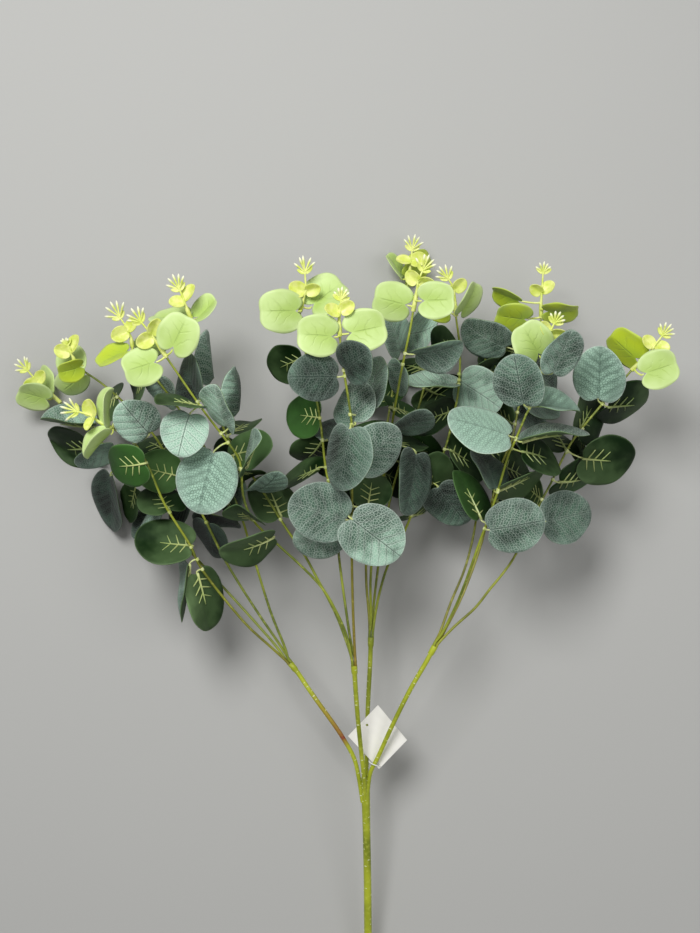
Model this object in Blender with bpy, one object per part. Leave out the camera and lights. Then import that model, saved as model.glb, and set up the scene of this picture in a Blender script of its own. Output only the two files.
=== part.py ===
import math
import random

import bmesh
import bpy
from mathutils import Matrix, Quaternion, Vector
from mathutils.bvhtree import BVHTree

# A eucalyptus branch laid on its lowest leaves and the cut end of its stem, tips towards +Y.
# Plan positions are millimetres across and down a flat sheet that lies under the branch and is
# seen from above. Heights are millimetres over the surface that the branch lies on.

MM = 0.001
SHEET_MIDDLE = (350.0, 466.5)
EYE_HEIGHT = 1410.0  # where the sheet is seen from
TRUE_SIZE_HEIGHT = 110.0  # height at which plan positions are true size

BLADE_THICKNESS = 0.8
LEAFLET_THICKNESS = 1.0
PETIOLE_RADIUS = 0.75
LIME_PETIOLE_RADIUS = 0.85
JOINT_GAP = 0.35  # between pieces that touch
KNEE_BELOW = 0.6  # a stalk that meets its blade at a sharper turn than this gets a knee
KNEE_LENGTH = 3.0
KNEE_TURN = 0.5  # share of the turn from blade to stalk that is made at the knee
HALF_SIDE = 0.87  # half a side of a triangle of radius 1
CLEARANCE = 0.9  # kept between a blade and what it passes
STALK_CLEARANCE = 0.6
LOWEST_BASE = 2.5  # no blade starts lower than this
SEED = 11
BULGES = (-0.05, 0.06)  # rise of a blade's middle in shares of its length
WAVES = (-0.035, 0.035)  # height of the wave along its edges in shares of its width
WAVE_ALONG = 7.0
WAVE_ACROSS = 2.0

MAIN_STEM_SIDES = 8
BRANCH_SIDES = 7
TWIG_SIDES = 6
BRANCH_RADII = (2.3, 2.5)
SOCKET_RADIUS = 3.6
SOCKET_LENGTH = 9.0
SOCKET_RUN_IN = 4.0  # the branch is straight for this much before its socket
SOCKET_TAPER = 0.92
TWIG_RADII = (1.3, 1.15)
TWIG_SPACING = 1.6  # from the middle of a socket to each twig in it
STRAIGHT_START = 5.0  # a twig leaves its socket square

# across, down, height, radius
MAIN_STEM = [
    (369.5, 1049.0, 4.3, 4.2),
    (369.0, 1000.0, 14.0, 4.0),
    (368.0, 933.0, 30.0, 3.8),
    (367.5, 880.0, 43.0, 3.7),
    (366.5, 830.0, 56.0, 3.7),
    (365.5, 790.0, 65.0, 4.3),
    (365.0, 777.0, 67.5, 3.6),
]

# across, down, height
BRANCHES = {
    "left": [
        (362.5, 802, 63), (359, 779, 67), (354, 758, 70), (343, 738, 73),
        (333, 723, 75), (320, 705, 78), (308, 688, 81), (298, 673, 84), (290, 663, 86),
    ],
    "front": [
        (365, 804, 64), (364, 778, 74), (361, 750, 88), (358, 720, 100),
        (356, 695, 112), (354, 665, 125),
    ],
    "back": [
        (366, 800, 60), (366.5, 770, 60), (367, 740, 60), (368, 703, 60),
        (370, 665, 62), (371, 637, 64),
    ],
    "right": [
        (367, 800, 64), (370, 774, 71), (378, 757, 79), (394, 722, 90),
        (410, 690, 97), (425, 664, 102), (435, 646, 105),
    ],
}

# branch, place in its socket (side, level), end height, rise of the middle, plan points to the end
TWIGS = {
    "twig_01": ("left", (-1, -1), 28, -4, [
        (276, 646), (255, 622), (224, 588), (198, 560), (172, 532), (147, 506), (130, 484),
        (100, 440), (61, 403),
    ]),
    "twig_02": ("left", (1, -1), 92, -8, [
        (280, 645), (254, 607), (225, 560), (200, 510), (175, 470), (150, 430), (110, 390),
        (76, 366),
    ]),
    "twig_03": ("left", (-1, 1), 146, 8, [
        (272, 648), (243, 621), (203, 571), (190, 545), (165, 505), (150, 470), (133, 441),
        (114, 429),
    ]),
    "twig_04": ("left", (1, 1), 116, 4, [
        (284, 645), (270, 610), (252, 552), (235, 500), (200, 440), (165, 390), (140, 360),
        (133, 348),
    ]),
    "twig_05": ("front", (-1, 1), 196, 6, [
        (349, 645), (343, 626), (330, 600), (318, 583), (298, 563), (276, 543), (253, 520),
        (243, 495), (240, 462), (226, 440), (203, 410), (167, 358),
    ]),
    "twig_06": ("front", (-1, -1), 128, -4, [
        (347, 643), (335, 612), (318, 580), (305, 556), (286, 528), (262, 490), (241, 460),
        (229, 440), (217, 412), (205, 375), (195, 335), (191, 319),
    ]),
    "twig_07": ("front", (1, -1), 132, -6, [
        (351, 643), (346, 610), (339, 557), (335, 510), (326, 470), (320, 418), (312, 380),
        (303, 340), (300, 313),
    ]),
    "twig_08": ("front", (1, 1), 206, 6, [
        (354.5, 645), (353, 610), (352, 568), (352, 527), (352, 480), (352, 427), (345, 378),
        (341, 350), (340, 337),
    ]),
    "twig_09": ("back", (-1, -1), 28, -4, [
        (369, 615), (366, 570), (370, 500), (384, 440), (392, 395), (400, 340), (405, 300),
        (409, 278),
    ]),
    "twig_10": ("back", (-1, 1), 150, 2, [
        (371, 618), (371, 570), (380, 500), (391, 430), (397, 395), (403, 363), (410, 330),
        (413, 312),
    ]),
    "twig_11": ("back", (1, 1), 96, 2, [
        (376, 610), (380, 591), (388, 565), (405, 530), (414, 510), (430, 480), (444, 452),
        (455, 410), (459, 383), (460, 350), (456, 317),
    ]),
    "twig_12": ("right", (1, -1), 66, -4, [
        (445, 630), (463, 594), (482, 541), (500, 470), (512, 440), (519, 405), (530, 365),
        (538, 335), (541, 319),
    ]),
    "twig_13": ("right", (-1, 1), 178, 4, [
        (444, 630), (461, 594), (480, 541), (485, 528), (497, 494), (508, 456), (515, 441),
        (526, 415), (532, 402), (542, 363),
    ]),
    "twig_14": ("right", (1, 1), 124, 2, [
        (455, 626), (475, 608), (490, 589), (504, 572), (517, 552), (541, 502), (551, 483),
        (571, 443), (598, 409), (631, 371),
    ]),
    "twig_15": ("back", (1, -1), 22, -6, [
        (373, 612), (378, 568), (384, 530), (395, 480), (415, 420), (428, 372), (432, 352),
    ]),
    "twig_16": ("right", (-1, -1), 22, -8, [
        (441, 630), (451, 602), (466, 565), (476, 520), (479, 470), (479, 420), (484, 372),
        (486, 352),
    ]),
}

# plan points from the twig's end to where the buds spread, the two leaflets, the bud spread
TIPS = {
    "twig_01": [(45, 389), (36, 380), (28, 371)],
    "twig_02": [(73, 357), (70, 351), (67, 346)],
    "twig_03": [(99, 422), (90, 415), (79, 412)],
    "twig_04": [(131, 338), (127, 328), (121, 319)],
    "twig_05": [(157, 343), (151, 334), (142, 323)],
    "twig_06": [(186, 307), (184, 300), (180, 291)],
    "twig_07": [(303, 300), (306, 290), (305, 274)],
    "twig_08": [(339, 321), (340, 310), (341, 301)],
    "twig_09": [(410, 268), (411, 259), (412, 251)],
    "twig_10": [(417, 291), (418, 281), (422, 272)],
    "twig_11": [(455, 302), (454, 288), (449, 280)],
    "twig_12": [(541, 303), (542, 290), (543, 274)],
    "twig_13": [(547, 345), (550, 332), (554, 324)],
    "twig_14": [(650, 353), (655, 345), (662, 336)],
}
TIP_RISES = (2.0, 4.0, 6.0)
SLEEVE_RADIUS = 2.3
SLEEVE_TAPER = 0.85
SLEEVE_END = 0.15  # share of the way from sleeve to leaflets over which it narrows
TIP_STEM_RADIUS = 1.2
TIP_STEM_TAPER = 0.8
TIP_SIDES = 5
LEAFLET_LENGTH = 15.0
LEAFLET_ASPECT = 0.95
LEAFLET_START = 2.2  # from the stem to the blade
LEAFLET_LEAN = (0.55, 0.45)  # forward and up, for one across
LEAFLET_FOLD = 0.35
LEAFLET_BULGE = -0.06
LEAFLET_STALK = 0.8
LEAFLET_STEP = 1.3  # the two leaflets sit this far before and behind their node
BUD_LENGTH = 9.5
BUD_RADIUS = 1.5
BUD_STALK_RADIUS = 0.8
BUD_END_RADIUS = 0.5
BUD_WIDEST = 0.6  # share of its length
BUD_END = 0.9
BUD_SIDES = 3
BUD_TURN = 0.4
# share of the way back from crown to leaflets, turn to the side, climb
SIDE_BUDS = [(0.02, 48.0, 0.3), (0.28, -52.0, 0.35), (0.56, 60.0, 0.4)]

# twig, base, tip, width seen, lift of the base over the twig, rise to the tip, fold of each half
LIME_LEAVES = [
    ("twig_01", (50, 400), (15, 391), 31, 3, 14, 8),
    ("twig_01", (52, 395), (40, 367), 28, -4, -10, 10),
    ("twig_02", (76, 372), (67, 347), 42, -5, -14, 8),
    ("twig_02", (83, 366), (56, 373), 22, 4, 8, 14),
    ("twig_02", (82, 374), (58, 390), 28, -8, -14, 8),
    ("twig_03", (112, 426), (116, 385), 16, 3, 8, 40),
    ("twig_03", (112, 432), (86, 462), 15, 3, 2, 45),
    ("twig_04", (131, 350), (96, 367), 24, 4, 10, 12),
    ("twig_04", (137, 352), (170, 340), 26, -4, -10, 8),
    ("twig_05", (159, 361), (121, 373), 45, 4, 10, 7),
    ("twig_05", (171, 352), (189, 313), 46, 1, 6, 8),
    ("twig_06", (186, 319), (151, 315), 25, -4, -16, 10),
    ("twig_06", (195, 319), (217, 297), 25, 2, 4, 18),
    ("twig_07", (301, 311), (256, 308), 50, 1, 8, 7),
    ("twig_07", (309, 308), (345, 281), 44, -3, -8, 8),
    ("twig_08", (337, 337), (294, 334), 48, 3, 8, 7),
    ("twig_08", (346, 334), (389, 325), 48, 1, 4, 8),
    ("twig_09", (402, 279), (385, 253), 16, 1, 6, 14),
    ("twig_09", (406, 279), (432, 256), 28, -4, -12, 10),
    ("twig_10", (410, 306), (371, 296), 41, 1, 6, 8),
    ("twig_10", (419, 301), (457, 299), 50, 3, 8, 7),
    ("twig_11", (458, 314), (476, 280), 20, 2, 6, 14),
    ("twig_11", (452, 314), (428, 292), 30, -4, -12, 8),
    ("twig_12", (529, 319), (493, 314), 30, 2, 8, 10),
    ("twig_12", (522, 302), (491, 289), 15, -4, -10, 16),
    ("twig_12", (543, 310), (581, 308), 18, 2, 4, 14),
    ("twig_13", (541, 358), (520, 322), 44, 3, 10, 10),
    ("twig_13", (546, 358), (576, 343), 14, -3, 2, 20),
    ("twig_14", (640, 362), (608, 333), 28, -2, -4, 12),
    ("twig_14", (641, 375), (680, 362), 44, 3, 8, 7),
]

# as above, those in front first
LEAVES = [
    ("twig_05", (190, 413), (178, 457), 56, 6, 20, 7),
    ("twig_05", (214, 451), (198, 513), 65, 6, 14, 6),
    ("twig_05", (200, 408), (157, 401), 14, 2, 30, 12),
    ("twig_05", (200, 400), (186, 357), 34, 0, -24, 10),
    ("twig_05", (228, 428), (212, 385), 30, 4, 30, 14),
    ("twig_05", (246, 468), (261, 437), 13, 3, 34, 14),
    ("twig_05", (236, 470), (258, 474), 18, -2, -34, 12),
    ("twig_05", (252, 520), (229, 497), 20, 3, 34, 14),
    ("twig_05", (274, 536), (219, 552), 32, 5, 8, 12),
    ("twig_08", (347, 520), (288, 502), 63, 4, 6, 6),
    ("twig_08", (349, 517), (400, 556), 64, 8, 8, 6),
    ("twig_08", (350, 426), (338, 491), 46, 3, -6, 10),
    ("twig_08", (357, 470), (398, 428), 50, 2, 6, 8),
    ("twig_08", (338, 377), (288, 377), 50, 3, 12, 7),
    ("twig_08", (345, 370), (371, 350), 52, 4, 34, 8),
    ("twig_08", (355, 424), (352, 381), 42, -3, -24, 8),
    ("twig_08", (366, 412), (380, 356), 34, -14, -10, 10),
    ("twig_08", (343, 524), (294, 546), 46, -8, -8, 8),
    ("twig_08", (368, 506), (373, 473), 50, -6, -30, 8),
    ("twig_08", (345, 515), (368, 492), 40, -14, -30, 8),
    ("twig_13", (511, 436), (448, 418), 47, 6, 8, 7),
    ("twig_13", (524, 405), (514, 353), 48, 5, 16, 7),
    ("twig_13", (552, 374), (572, 330), 32, 2, 22, 10),
    ("twig_13", (530, 405), (580, 412), 26, 2, 4, 26),
    ("twig_13", (489, 530), (546, 520), 58, 5, 10, 6),
    ("twig_13", (520, 441), (590, 436), 12, -2, 4, 12),
    ("twig_13", (520, 452), (562, 466), 43, -8, -36, 8),
    ("twig_13", (498, 490), (545, 462), 22, 1, -14, 10),
    ("twig_13", (495, 491), (475, 448), 32, -2, -24, 10),
    ("twig_13", (481, 521), (457, 470), 32, 0, -16, 10),
    ("twig_14", (598, 400), (601, 346), 53, 4, 14, 7),
    ("twig_14", (606, 406), (647, 403), 42, -1, -34, 8),
    ("twig_14", (577, 434), (599, 395), 46, 0, -30, 8),
    ("twig_14", (580, 457), (633, 460), 53, -3, -20, 8),
    ("twig_14", (558, 482), (597, 474), 40, -3, -36, 8),
    ("twig_14", (543, 522), (590, 511), 61, 6, -22, 7),
    ("twig_14", (543, 500), (524, 484), 30, -4, -40, 8),
    ("twig_10", (414, 355), (463, 342), 30, 3, 12, 24),
    ("twig_10", (402, 364), (396, 397), 28, 2, -30, 10),
    ("twig_10", (388, 408), (420, 420), 24, -1, -34, 10),
    ("twig_10", (395, 432), (427, 408), 28, 3, 32, 12),
    ("twig_10", (386, 440), (424, 444), 20, -2, -34, 10),
    ("twig_10", (415, 450), (404, 515), 38, -3, 8, 10),
    ("twig_06", (212, 380), (204, 330), 14, 2, 22, 14),
    ("twig_06", (238, 412), (230, 369), 18, 1, 30, 14),
    ("twig_06", (232, 434), (252, 420), 26, -3, -38, 10),
    ("twig_06", (228, 457), (273, 445), 42, 4, 20, 9),
    ("twig_06", (255, 490), (277, 468), 24, 2, 30, 12),
    ("twig_06", (281, 519), (262, 476), 46, 2, -26, 8),
    ("twig_06", (244, 478), (226, 500), 26, -4, -36, 10),
    ("twig_07", (303, 357), (270, 372), 44, 1, -28, 8),
    ("twig_07", (321, 418), (286, 413), 50, 1, -28, 8),
    ("twig_07", (320, 468), (282, 482), 24, 1, -30, 10),
    ("twig_07", (326, 440), (346, 418), 34, -6, -34, 10),
    ("twig_07", (334, 506), (352, 500), 34, -8, -38, 10),
    ("twig_03", (150, 434), (121, 401), 46, 3, 22, 8),
    ("twig_03", (146, 463), (110, 465), 46, 0, -30, 8),
    ("twig_03", (193, 546), (134, 538), 46, 2, 0, 8),
    ("twig_03", (189, 563), (183, 621), 14, 2, -12, 14),
    ("twig_03", (196, 572), (210, 630), 34, -2, -16, 10),
    ("twig_11", (458, 384), (391, 382), 23, 4, 4, 12),
    ("twig_11", (459, 380), (501, 408), 50, 6, 20, 8),
    ("twig_11", (462, 374), (498, 362), 22, -3, -34, 10),
    ("twig_11", (454, 412), (416, 428), 36, -4, -34, 8),
    ("twig_11", (422, 503), (438, 452), 42, 0, 18, 10),
    ("twig_11", (437, 486), (466, 522), 44, 0, -24, 8),
    ("twig_11", (408, 514), (432, 506), 20, -6, -40, 10),
    ("twig_11", (448, 450), (482, 470), 40, -5, -36, 8),
    ("twig_02", (178, 476), (136, 466), 57, 2, 26, 7),
    ("twig_02", (118, 396), (96, 412), 38, -3, -38, 10),
    ("twig_02", (207, 522), (214, 556), 40, -4, -36, 8),
    ("twig_02", (202, 512), (236, 528), 34, -3, -36, 8),
    ("twig_04", (147, 376), (122, 400), 26, -3, -38, 10),
    ("twig_04", (160, 374), (168, 408), 26, -2, -34, 12),
    ("twig_04", (214, 462), (186, 492), 44, -6, -32, 8),
    ("twig_04", (226, 488), (240, 520), 34, -6, -30, 10),
    ("twig_01", (94, 446), (50, 446), 46, -2, -44, 4),
    ("twig_01", (95, 427), (40, 420), 24, 4, 8, 34),
    ("twig_01", (114, 448), (74, 464), 22, 6, 4, 12),
    ("twig_01", (110, 474), (112, 529), 42, -3, -24, 10),
    ("twig_01", (133, 490), (147, 524), 27, -3, -36, 12),
    ("twig_01", (152, 510), (129, 542), 12, -2, -30, 12),
    ("twig_01", (160, 505), (149, 550), 16, 1, 22, 14),
    ("twig_12", (518, 352), (475, 338), 34, 1, -24, 8),
    ("twig_12", (528, 368), (558, 390), 44, 2, -30, 8),
    ("twig_12", (508, 348), (464, 322), 46, 8, 12, 7),
    ("twig_12", (516, 412), (548, 430), 40, -3, -34, 8),
    ("twig_12", (502, 466), (532, 484), 42, -3, -36, 8),
    ("twig_09", (401, 352), (386, 316), 36, 2, 26, 8),
    ("twig_09", (404, 334), (436, 326), 46, -2, -48, 4),
    ("twig_09", (393, 404), (366, 388), 44, -3, -36, 8),
    ("twig_09", (378, 470), (408, 484), 44, -4, -34, 8),
    ("twig_15", (426, 372), (390, 366), 48, -1, -46, 4),
    ("twig_15", (424, 388), (458, 400), 50, -1, -46, 4),
    ("twig_15", (398, 462), (364, 446), 50, -2, -46, 4),
    ("twig_15", (405, 452), (442, 452), 50, -2, -46, 4),
    ("twig_16", (486, 372), (522, 384), 50, -1, -46, 4),
    ("twig_16", (478, 400), (440, 396), 50, -1, -46, 4),
    ("twig_16", (481, 450), (518, 448), 50, -2, -46, 4),
    ("twig_16", (476, 480), (446, 468), 44, -6, -34, 6),
    ("twig_02", (166, 452), (140, 440), 34, -6, -34, 8),
    ("twig_01", (136, 488), (128, 520), 30, 2, -20, 10),
    ("twig_02", (190, 500), (168, 524), 36, -6, -30, 10),
    ("twig_07", (322, 440), (300, 460), 34, -6, -36, 8),
    ("twig_12", (514, 424), (488, 400), 40, -6, -34, 8),
    ("twig_14", (566, 452), (548, 424), 40, -8, -40, 8),
    ("twig_14", (584, 430), (572, 470), 40, -10, -36, 8),
    ("twig_09", (386, 440), (352, 428), 44, -4, -40, 8),
    ("twig_07", (330, 480), (356, 470), 40, -8, -40, 8),
    ("twig_06", (245, 466), (212, 470), 40, -8, -40, 8),
    ("twig_12", (520, 400), (556, 404), 44, -6, -36, 8),
    ("twig_11", (458, 350), (432, 340), 36, -4, -34, 8),
    ("twig_10", (376, 520), (350, 500), 40, -8, -36, 8),
    ("twig_11", (420, 500), (448, 486), 40, -10, -36, 8),
    ("twig_03", (170, 512), (150, 486), 40, -10, -34, 8),
    ("twig_12", (492, 500), (516, 512), 40, -4, -30, 8),
]
LONGEST_BLADES = (66.0, 48.0, 36.0)  # a leaf that finds no place is made smaller
LIME_ASPECT = 1.06  # width over length of a blade
BLADE_ASPECT = 1.03

# share of the length, share of the half width
OUTLINE = [(0.015, 0.48), (0.24, 0.93), (0.57, 0.98), (0.84, 0.66)]
RIB = [0.33, 0.68]
LEAFLET_OUTLINE = [(0.12, 0.62), (0.55, 0.98)]
LEAFLET_RIB = [0.5]

# changes of pose in degrees and millimetres, and how much of each counts as one step
SWINGS = (0, 5, -5, 10, -10, 18, -18)
PITCHES = (0, 8, -8, 16, -16, 28, -28)
ROLLS = (0, 14, -14, 30, -30)
LIFTS = (0, 5, -5, 11, -11)
SWING_STEP, PITCH_STEP, ROLL_STEP, LIFT_STEP = 6, 8, 14, 6
MIRROR_COST = 1.5

TAG_CORNERS = [(378, 705), (407, 740), (379, 769), (348, 736)]
TAG_HEIGHTS = (75.0, 71.4)  # upper and lower corner
TAG_THICKNESS = 0.8
TAG_HOLE_RADIUS = 1.4
TAG_EYE = (367, 725)
TAG_EYE_RADIUS = 1.3
HOLE_SIDES = 12
HOLE_CUT = 4.0  # half the length of the rod that cuts a hole
HOLE_SEARCH = 720  # steps round the loop in the search for its hole
HOLE_NEAR = 0.05
LOOP_MIDDLE = (374.2, 763.6, 75.2)
LOOP_RADIUS = 5.9
LOOP_WIRE = 0.55
LOOP_STEPS = 16
LOOP_SIDES = 5

COLOURS = {
    "stem": ((0.22, 0.33, 0.02, 1), 0.5),
    "leaf": ((0.05, 0.11, 0.06, 1), 0.75),
    "lime": ((0.55, 0.75, 0.16, 1), 0.5),
    "tag": ((0.88, 0.87, 0.83, 1), 0.7),
    "loop": ((0.85, 0.86, 0.84, 1), 0.2),
}


def spot(across, down, height):
    """Where a plan position lies at a height, in millimetres."""
    spread = (EYE_HEIGHT - height) / (EYE_HEIGHT - TRUE_SIZE_HEIGHT)
    return Vector(
        ((across - SHEET_MIDDLE[0]) * spread, (SHEET_MIDDLE[1] - down) * spread, height)
    )


def tube(points, radii, sides, turn=0.0, first_way=None):
    """A closed tube along points, its rings square to the path."""
    ways = []
    for i in range(len(points)):
        before = points[max(i - 1, 0)]
        after = points[min(i + 1, len(points) - 1)]
        ways.append((after - before).normalized())
    ways[0] = first_way or ways[0]
    side = ways[0].orthogonal().normalized()
    if abs(ways[0].z) < 0.9:
        side = ways[0].cross(Vector((0, 0, 1))).normalized()
    verts, faces = [], []
    for i, (point, way) in enumerate(zip(points, ways)):
        if i:
            side = (ways[i - 1].rotation_difference(way) @ side).normalized()
        up = way.cross(side)
        for k in range(sides):
            angle = turn + 2 * math.pi * k / sides
            verts.append(point + radii[i] * (math.cos(angle) * side + math.sin(angle) * up))
    for i in range(len(points) - 1):
        for k in range(sides):
            a, b = i * sides + k, i * sides + (k + 1) % sides
            faces.append((a, b, b + sides, a + sides))
    last = (len(points) - 1) * sides
    faces.append(tuple(reversed(range(sides))))
    faces.append(tuple(range(last, last + sides)))
    return verts, faces


def strip(outer, inner):
    """Triangles between an outline and a rib that share both ends."""
    found, i, k = [], 0, 0
    while i < len(outer) - 1 or k < len(inner) - 1:
        outer_share = (i + 1) / (len(outer) - 1)
        inner_share = (k + 1) / (len(inner) - 1)
        if k == len(inner) - 1 or (i < len(outer) - 1 and outer_share <= inner_share):
            found.append((outer[i], outer[i + 1], inner[k]))
            i += 1
        else:
            found.append((outer[i], inner[k + 1], inner[k]))
            k += 1
    return [face for face in found if len(set(face)) == 3]


def bent(pose, along, across):
    """The middle of the blade at a share of its length and of its half width there."""
    length, width, fold, bulge, wave = pose["form"]
    out = across * width / 2
    lift = abs(out) * math.sin(fold) + bulge * length * 4 * along * (1 - along)
    turn = WAVE_ALONG * along + WAVE_ACROSS * across
    lift += wave * width * across * abs(across) * math.sin(turn)
    sideways = out * math.cos(fold)
    place = pose["base"] + pose["axis"] * (along * length)
    place = place + pose["side"] * sideways + pose["normal"] * lift
    floor = BLADE_THICKNESS / 2
    return Vector((place.x, place.y, max(place.z, floor)))


def blade(pose, thickness, outline=OUTLINE, rib=RIB, stalk=0.0):
    """A closed blade with both faces split into the same triangles, and its stalk grown into it."""
    marks = [(0.0, 0.0)] + [(s, w) for s, w in outline] + [(1.0, 0.0)]
    marks += [(s, -w) for s, w in reversed(outline)]
    rim = len(marks)
    marks += [(s, 0.0) for s in rib]
    points = [bent(pose, s, w) for s, w in marks]
    tip = len(outline) + 1
    ribs = [0] + list(range(rim, rim + len(rib))) + [tip]
    left = list(range(0, tip + 1))
    right = [0] + list(range(rim - 1, tip - 1, -1))
    upper = [face[::-1] for face in strip(left, ribs)] + strip(right, ribs)
    normals = [Vector() for _ in points]
    for a, b, c in upper:
        facing = (points[b] - points[a]).cross(points[c] - points[a])
        for k in (a, b, c):
            normals[k] += facing
    verts = []
    for way in (0.5, -0.5):
        for point, normal in zip(points, normals):
            resting = point.z <= BLADE_THICKNESS / 2 + 1e-6
            facing = Vector((0, 0, 1 if normal.z > 0 else -1)) if resting else normal.normalized()
            place = point + facing * (way * thickness)
            verts.append(Vector((place.x, place.y, max(place.z, 0.0))))
    count = len(points)
    lower = [tuple(k + count for k in reversed(face)) for face in upper]
    faces = list(upper) + lower
    edges = {(a, b) for face in upper for a, b in zip(face, face[1:] + face[:1])}
    for a, b in sorted(edges):
        if (b, a) not in edges:
            faces.append((b, a, a + count))
            faces.append((b, a + count, b + count))
    if not stalk:
        return verts, faces
    # the blade's base opens into a three-sided stalk that runs to the middle of its stem
    first, last = 1, rim - 1
    faces = [face for face in faces if not ({0, count} & set(face))]
    run = (points[0] - pose["stem"]).normalized()
    turn = pose["axis"].rotation_difference(run)
    stops = [(points[0], 0.0), (pose["stem"], 1.0)]
    if run.dot(pose["axis"]) < KNEE_BELOW:
        stops.insert(1, (points[0] - pose["axis"] * KNEE_LENGTH, KNEE_TURN))
    rings = []
    for middle, share in stops:
        part_turn = Quaternion().slerp(turn, share)
        lift = part_turn @ pose["normal"] * stalk
        side = part_turn @ pose["side"] * (stalk * HALF_SIDE)
        rings.append([middle + lift, middle + side - lift * 0.5, middle - side - lift * 0.5])
    top, one, two = count * 2, count * 2 + 1, count * 2 + 2
    verts += [Vector((v.x, v.y, max(v.z, 0.0))) for loop in rings for v in loop]
    near = ribs[1]
    faces += [(top, near, first), (top, last, near)]
    faces += [(one, first + count, near + count), (two, near + count, last + count)]
    faces += [(one, near + count, two)]
    faces += [(top, first, one), (one, first, first + count)]
    faces += [(top, two, last), (two, last + count, last)]
    for k in range(len(rings) - 1):
        a, b, c = top + 3 * k, one + 3 * k, two + 3 * k
        faces += [(a + 3, a, b), (a + 3, b, b + 3), (b + 3, b, c)]
        faces += [(b + 3, c, c + 3), (c + 3, c, a), (c + 3, a, a + 3)]
    faces += [(a + 3, b + 3, c + 3)]
    return verts, faces


def tree(shape):
    return BVHTree.FromPolygons(shape[0], shape[1])


def keep_largest(mesh):
    """Fills hollows sealed by a union and drops loose scrap: only the outer skin stays."""
    work = bmesh.new()
    work.from_mesh(mesh)
    left, islands = set(work.verts), []
    while left:
        island, edge = set(), [left.pop()]
        while edge:
            vertex = edge.pop()
            island.add(vertex)
            near = {link.other_vert(vertex) for link in vertex.link_edges} & left
            left -= near
            edge += list(near)
        islands.append(island)
    islands.sort(key=len)
    for island in islands[:-1]:
        bmesh.ops.delete(work, geom=list(island), context="VERTS")
    work.to_mesh(mesh)
    work.free()
    return [len(island) for island in islands[:-1]]


def make(name, shapes, slot):
    """One node: its closed shapes joined by a union."""
    material = bpy.data.materials.get(slot) or bpy.data.materials.new(slot)
    if not material.use_nodes:
        material.use_nodes = True
        shader = material.node_tree.nodes["Principled BSDF"]
        shader.inputs["Base Color"].default_value = COLOURS[slot][0]
        shader.inputs["Roughness"].default_value = COLOURS[slot][1]
    objects = []
    for k, (verts, faces) in enumerate(shapes):
        mesh = bpy.data.meshes.new(name)
        mesh.from_pydata([v * MM for v in verts], [], faces)
        mesh.materials.append(material)
        objects.append(bpy.data.objects.new(name if k == 0 else f"{name}_{k}", mesh))
    body = objects[0]
    bpy.context.scene.collection.objects.link(body)
    if len(objects) > 1:
        group = bpy.data.collections.new(name + "_pieces")
        for other in objects[1:]:
            group.objects.link(other)
        union = body.modifiers.new("union", "BOOLEAN")
        union.operation = "UNION"
        union.operand_type = "COLLECTION"
        union.collection = group
        union.solver = "MANIFOLD"
        graph = bpy.context.evaluated_depsgraph_get()
        joined = bpy.data.meshes.new_from_object(body.evaluated_get(graph))
        body.modifiers.clear()
        dropped = keep_largest(joined)
        if dropped:
            print(name, "islands dropped", dropped)
        body.data = joined
        for other in objects[1:]:
            bpy.data.objects.remove(other)
        bpy.data.collections.remove(group)
    return body


def ring_cut(middle, facing, radius):
    """A closed rod used as the cutter of a hole."""
    ends = [middle - facing * HOLE_CUT, middle + facing * HOLE_CUT]
    return tube(ends, [radius, radius], HOLE_SIDES)


def cut(body, cutters):
    for k, (verts, faces) in enumerate(cutters):
        mesh = bpy.data.meshes.new("cutter")
        mesh.from_pydata([v * MM for v in verts], [], faces)
        cutter = bpy.data.objects.new(f"cutter_{k}", mesh)
        bpy.context.scene.collection.objects.link(cutter)
        hole = body.modifiers.new("hole", "BOOLEAN")
        hole.operation = "DIFFERENCE"
        hole.object = cutter
        graph = bpy.context.evaluated_depsgraph_get()
        pierced = bpy.data.meshes.new_from_object(body.evaluated_get(graph))
        body.modifiers.clear()
        body.data = pierced
        bpy.data.objects.remove(cutter)


def even_change(ends, count):
    """As many values as asked for, that run evenly from the first end towards the second."""
    return [ends[0] + (ends[1] - ends[0]) * k / count for k in range(count)]


def lengths_along(points):
    found = [0.0]
    for a, b in zip(points, points[1:]):
        found.append(found[-1] + math.dist(a, b))
    return [value / found[-1] for value in found]


def twig_path(name):
    """The middle line of a twig, from its place in the socket to its end."""
    branch, (side_step, level), end_height, middle_rise, plan = TWIGS[name]
    socket = spot(*BRANCHES[branch][-1])
    before = spot(*BRANCHES[branch][-2])
    way = (socket - before).normalized()
    side = way.cross(Vector((0, 0, 1))).normalized()
    up = side.cross(way)
    start = socket + way * JOINT_GAP
    start += side * (side_step * TWIG_SPACING) + up * (level * TWIG_SPACING)
    flat = [BRANCHES[branch][-1][:2]] + list(plan)
    shares = lengths_along(flat)
    path = [start, start + way * STRAIGHT_START]
    for (across, down), share in zip(flat[1:], shares[1:]):
        eased = share * share * (3 - 2 * share) * 0.5 + share * 0.5
        height = start.z + (end_height - start.z) * eased
        height += middle_rise * math.sin(math.pi * share)
        path.append(spot(across, down, height))
    return path


def nearest_on(path, place):
    """The point of a path nearest in plan to a place."""
    best = None
    for a, b in zip(path, path[1:]):
        run = (b - a).to_2d()
        share = (place - a).to_2d().dot(run) / max(run.length_squared, 1e-9)
        share = min(max(share, 0.0), 1.0)
        point = a.lerp(b, share)
        distance = (point - place).to_2d().length
        if best is None or distance < best[0]:
            best = (distance, point)
    return best[1]


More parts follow.
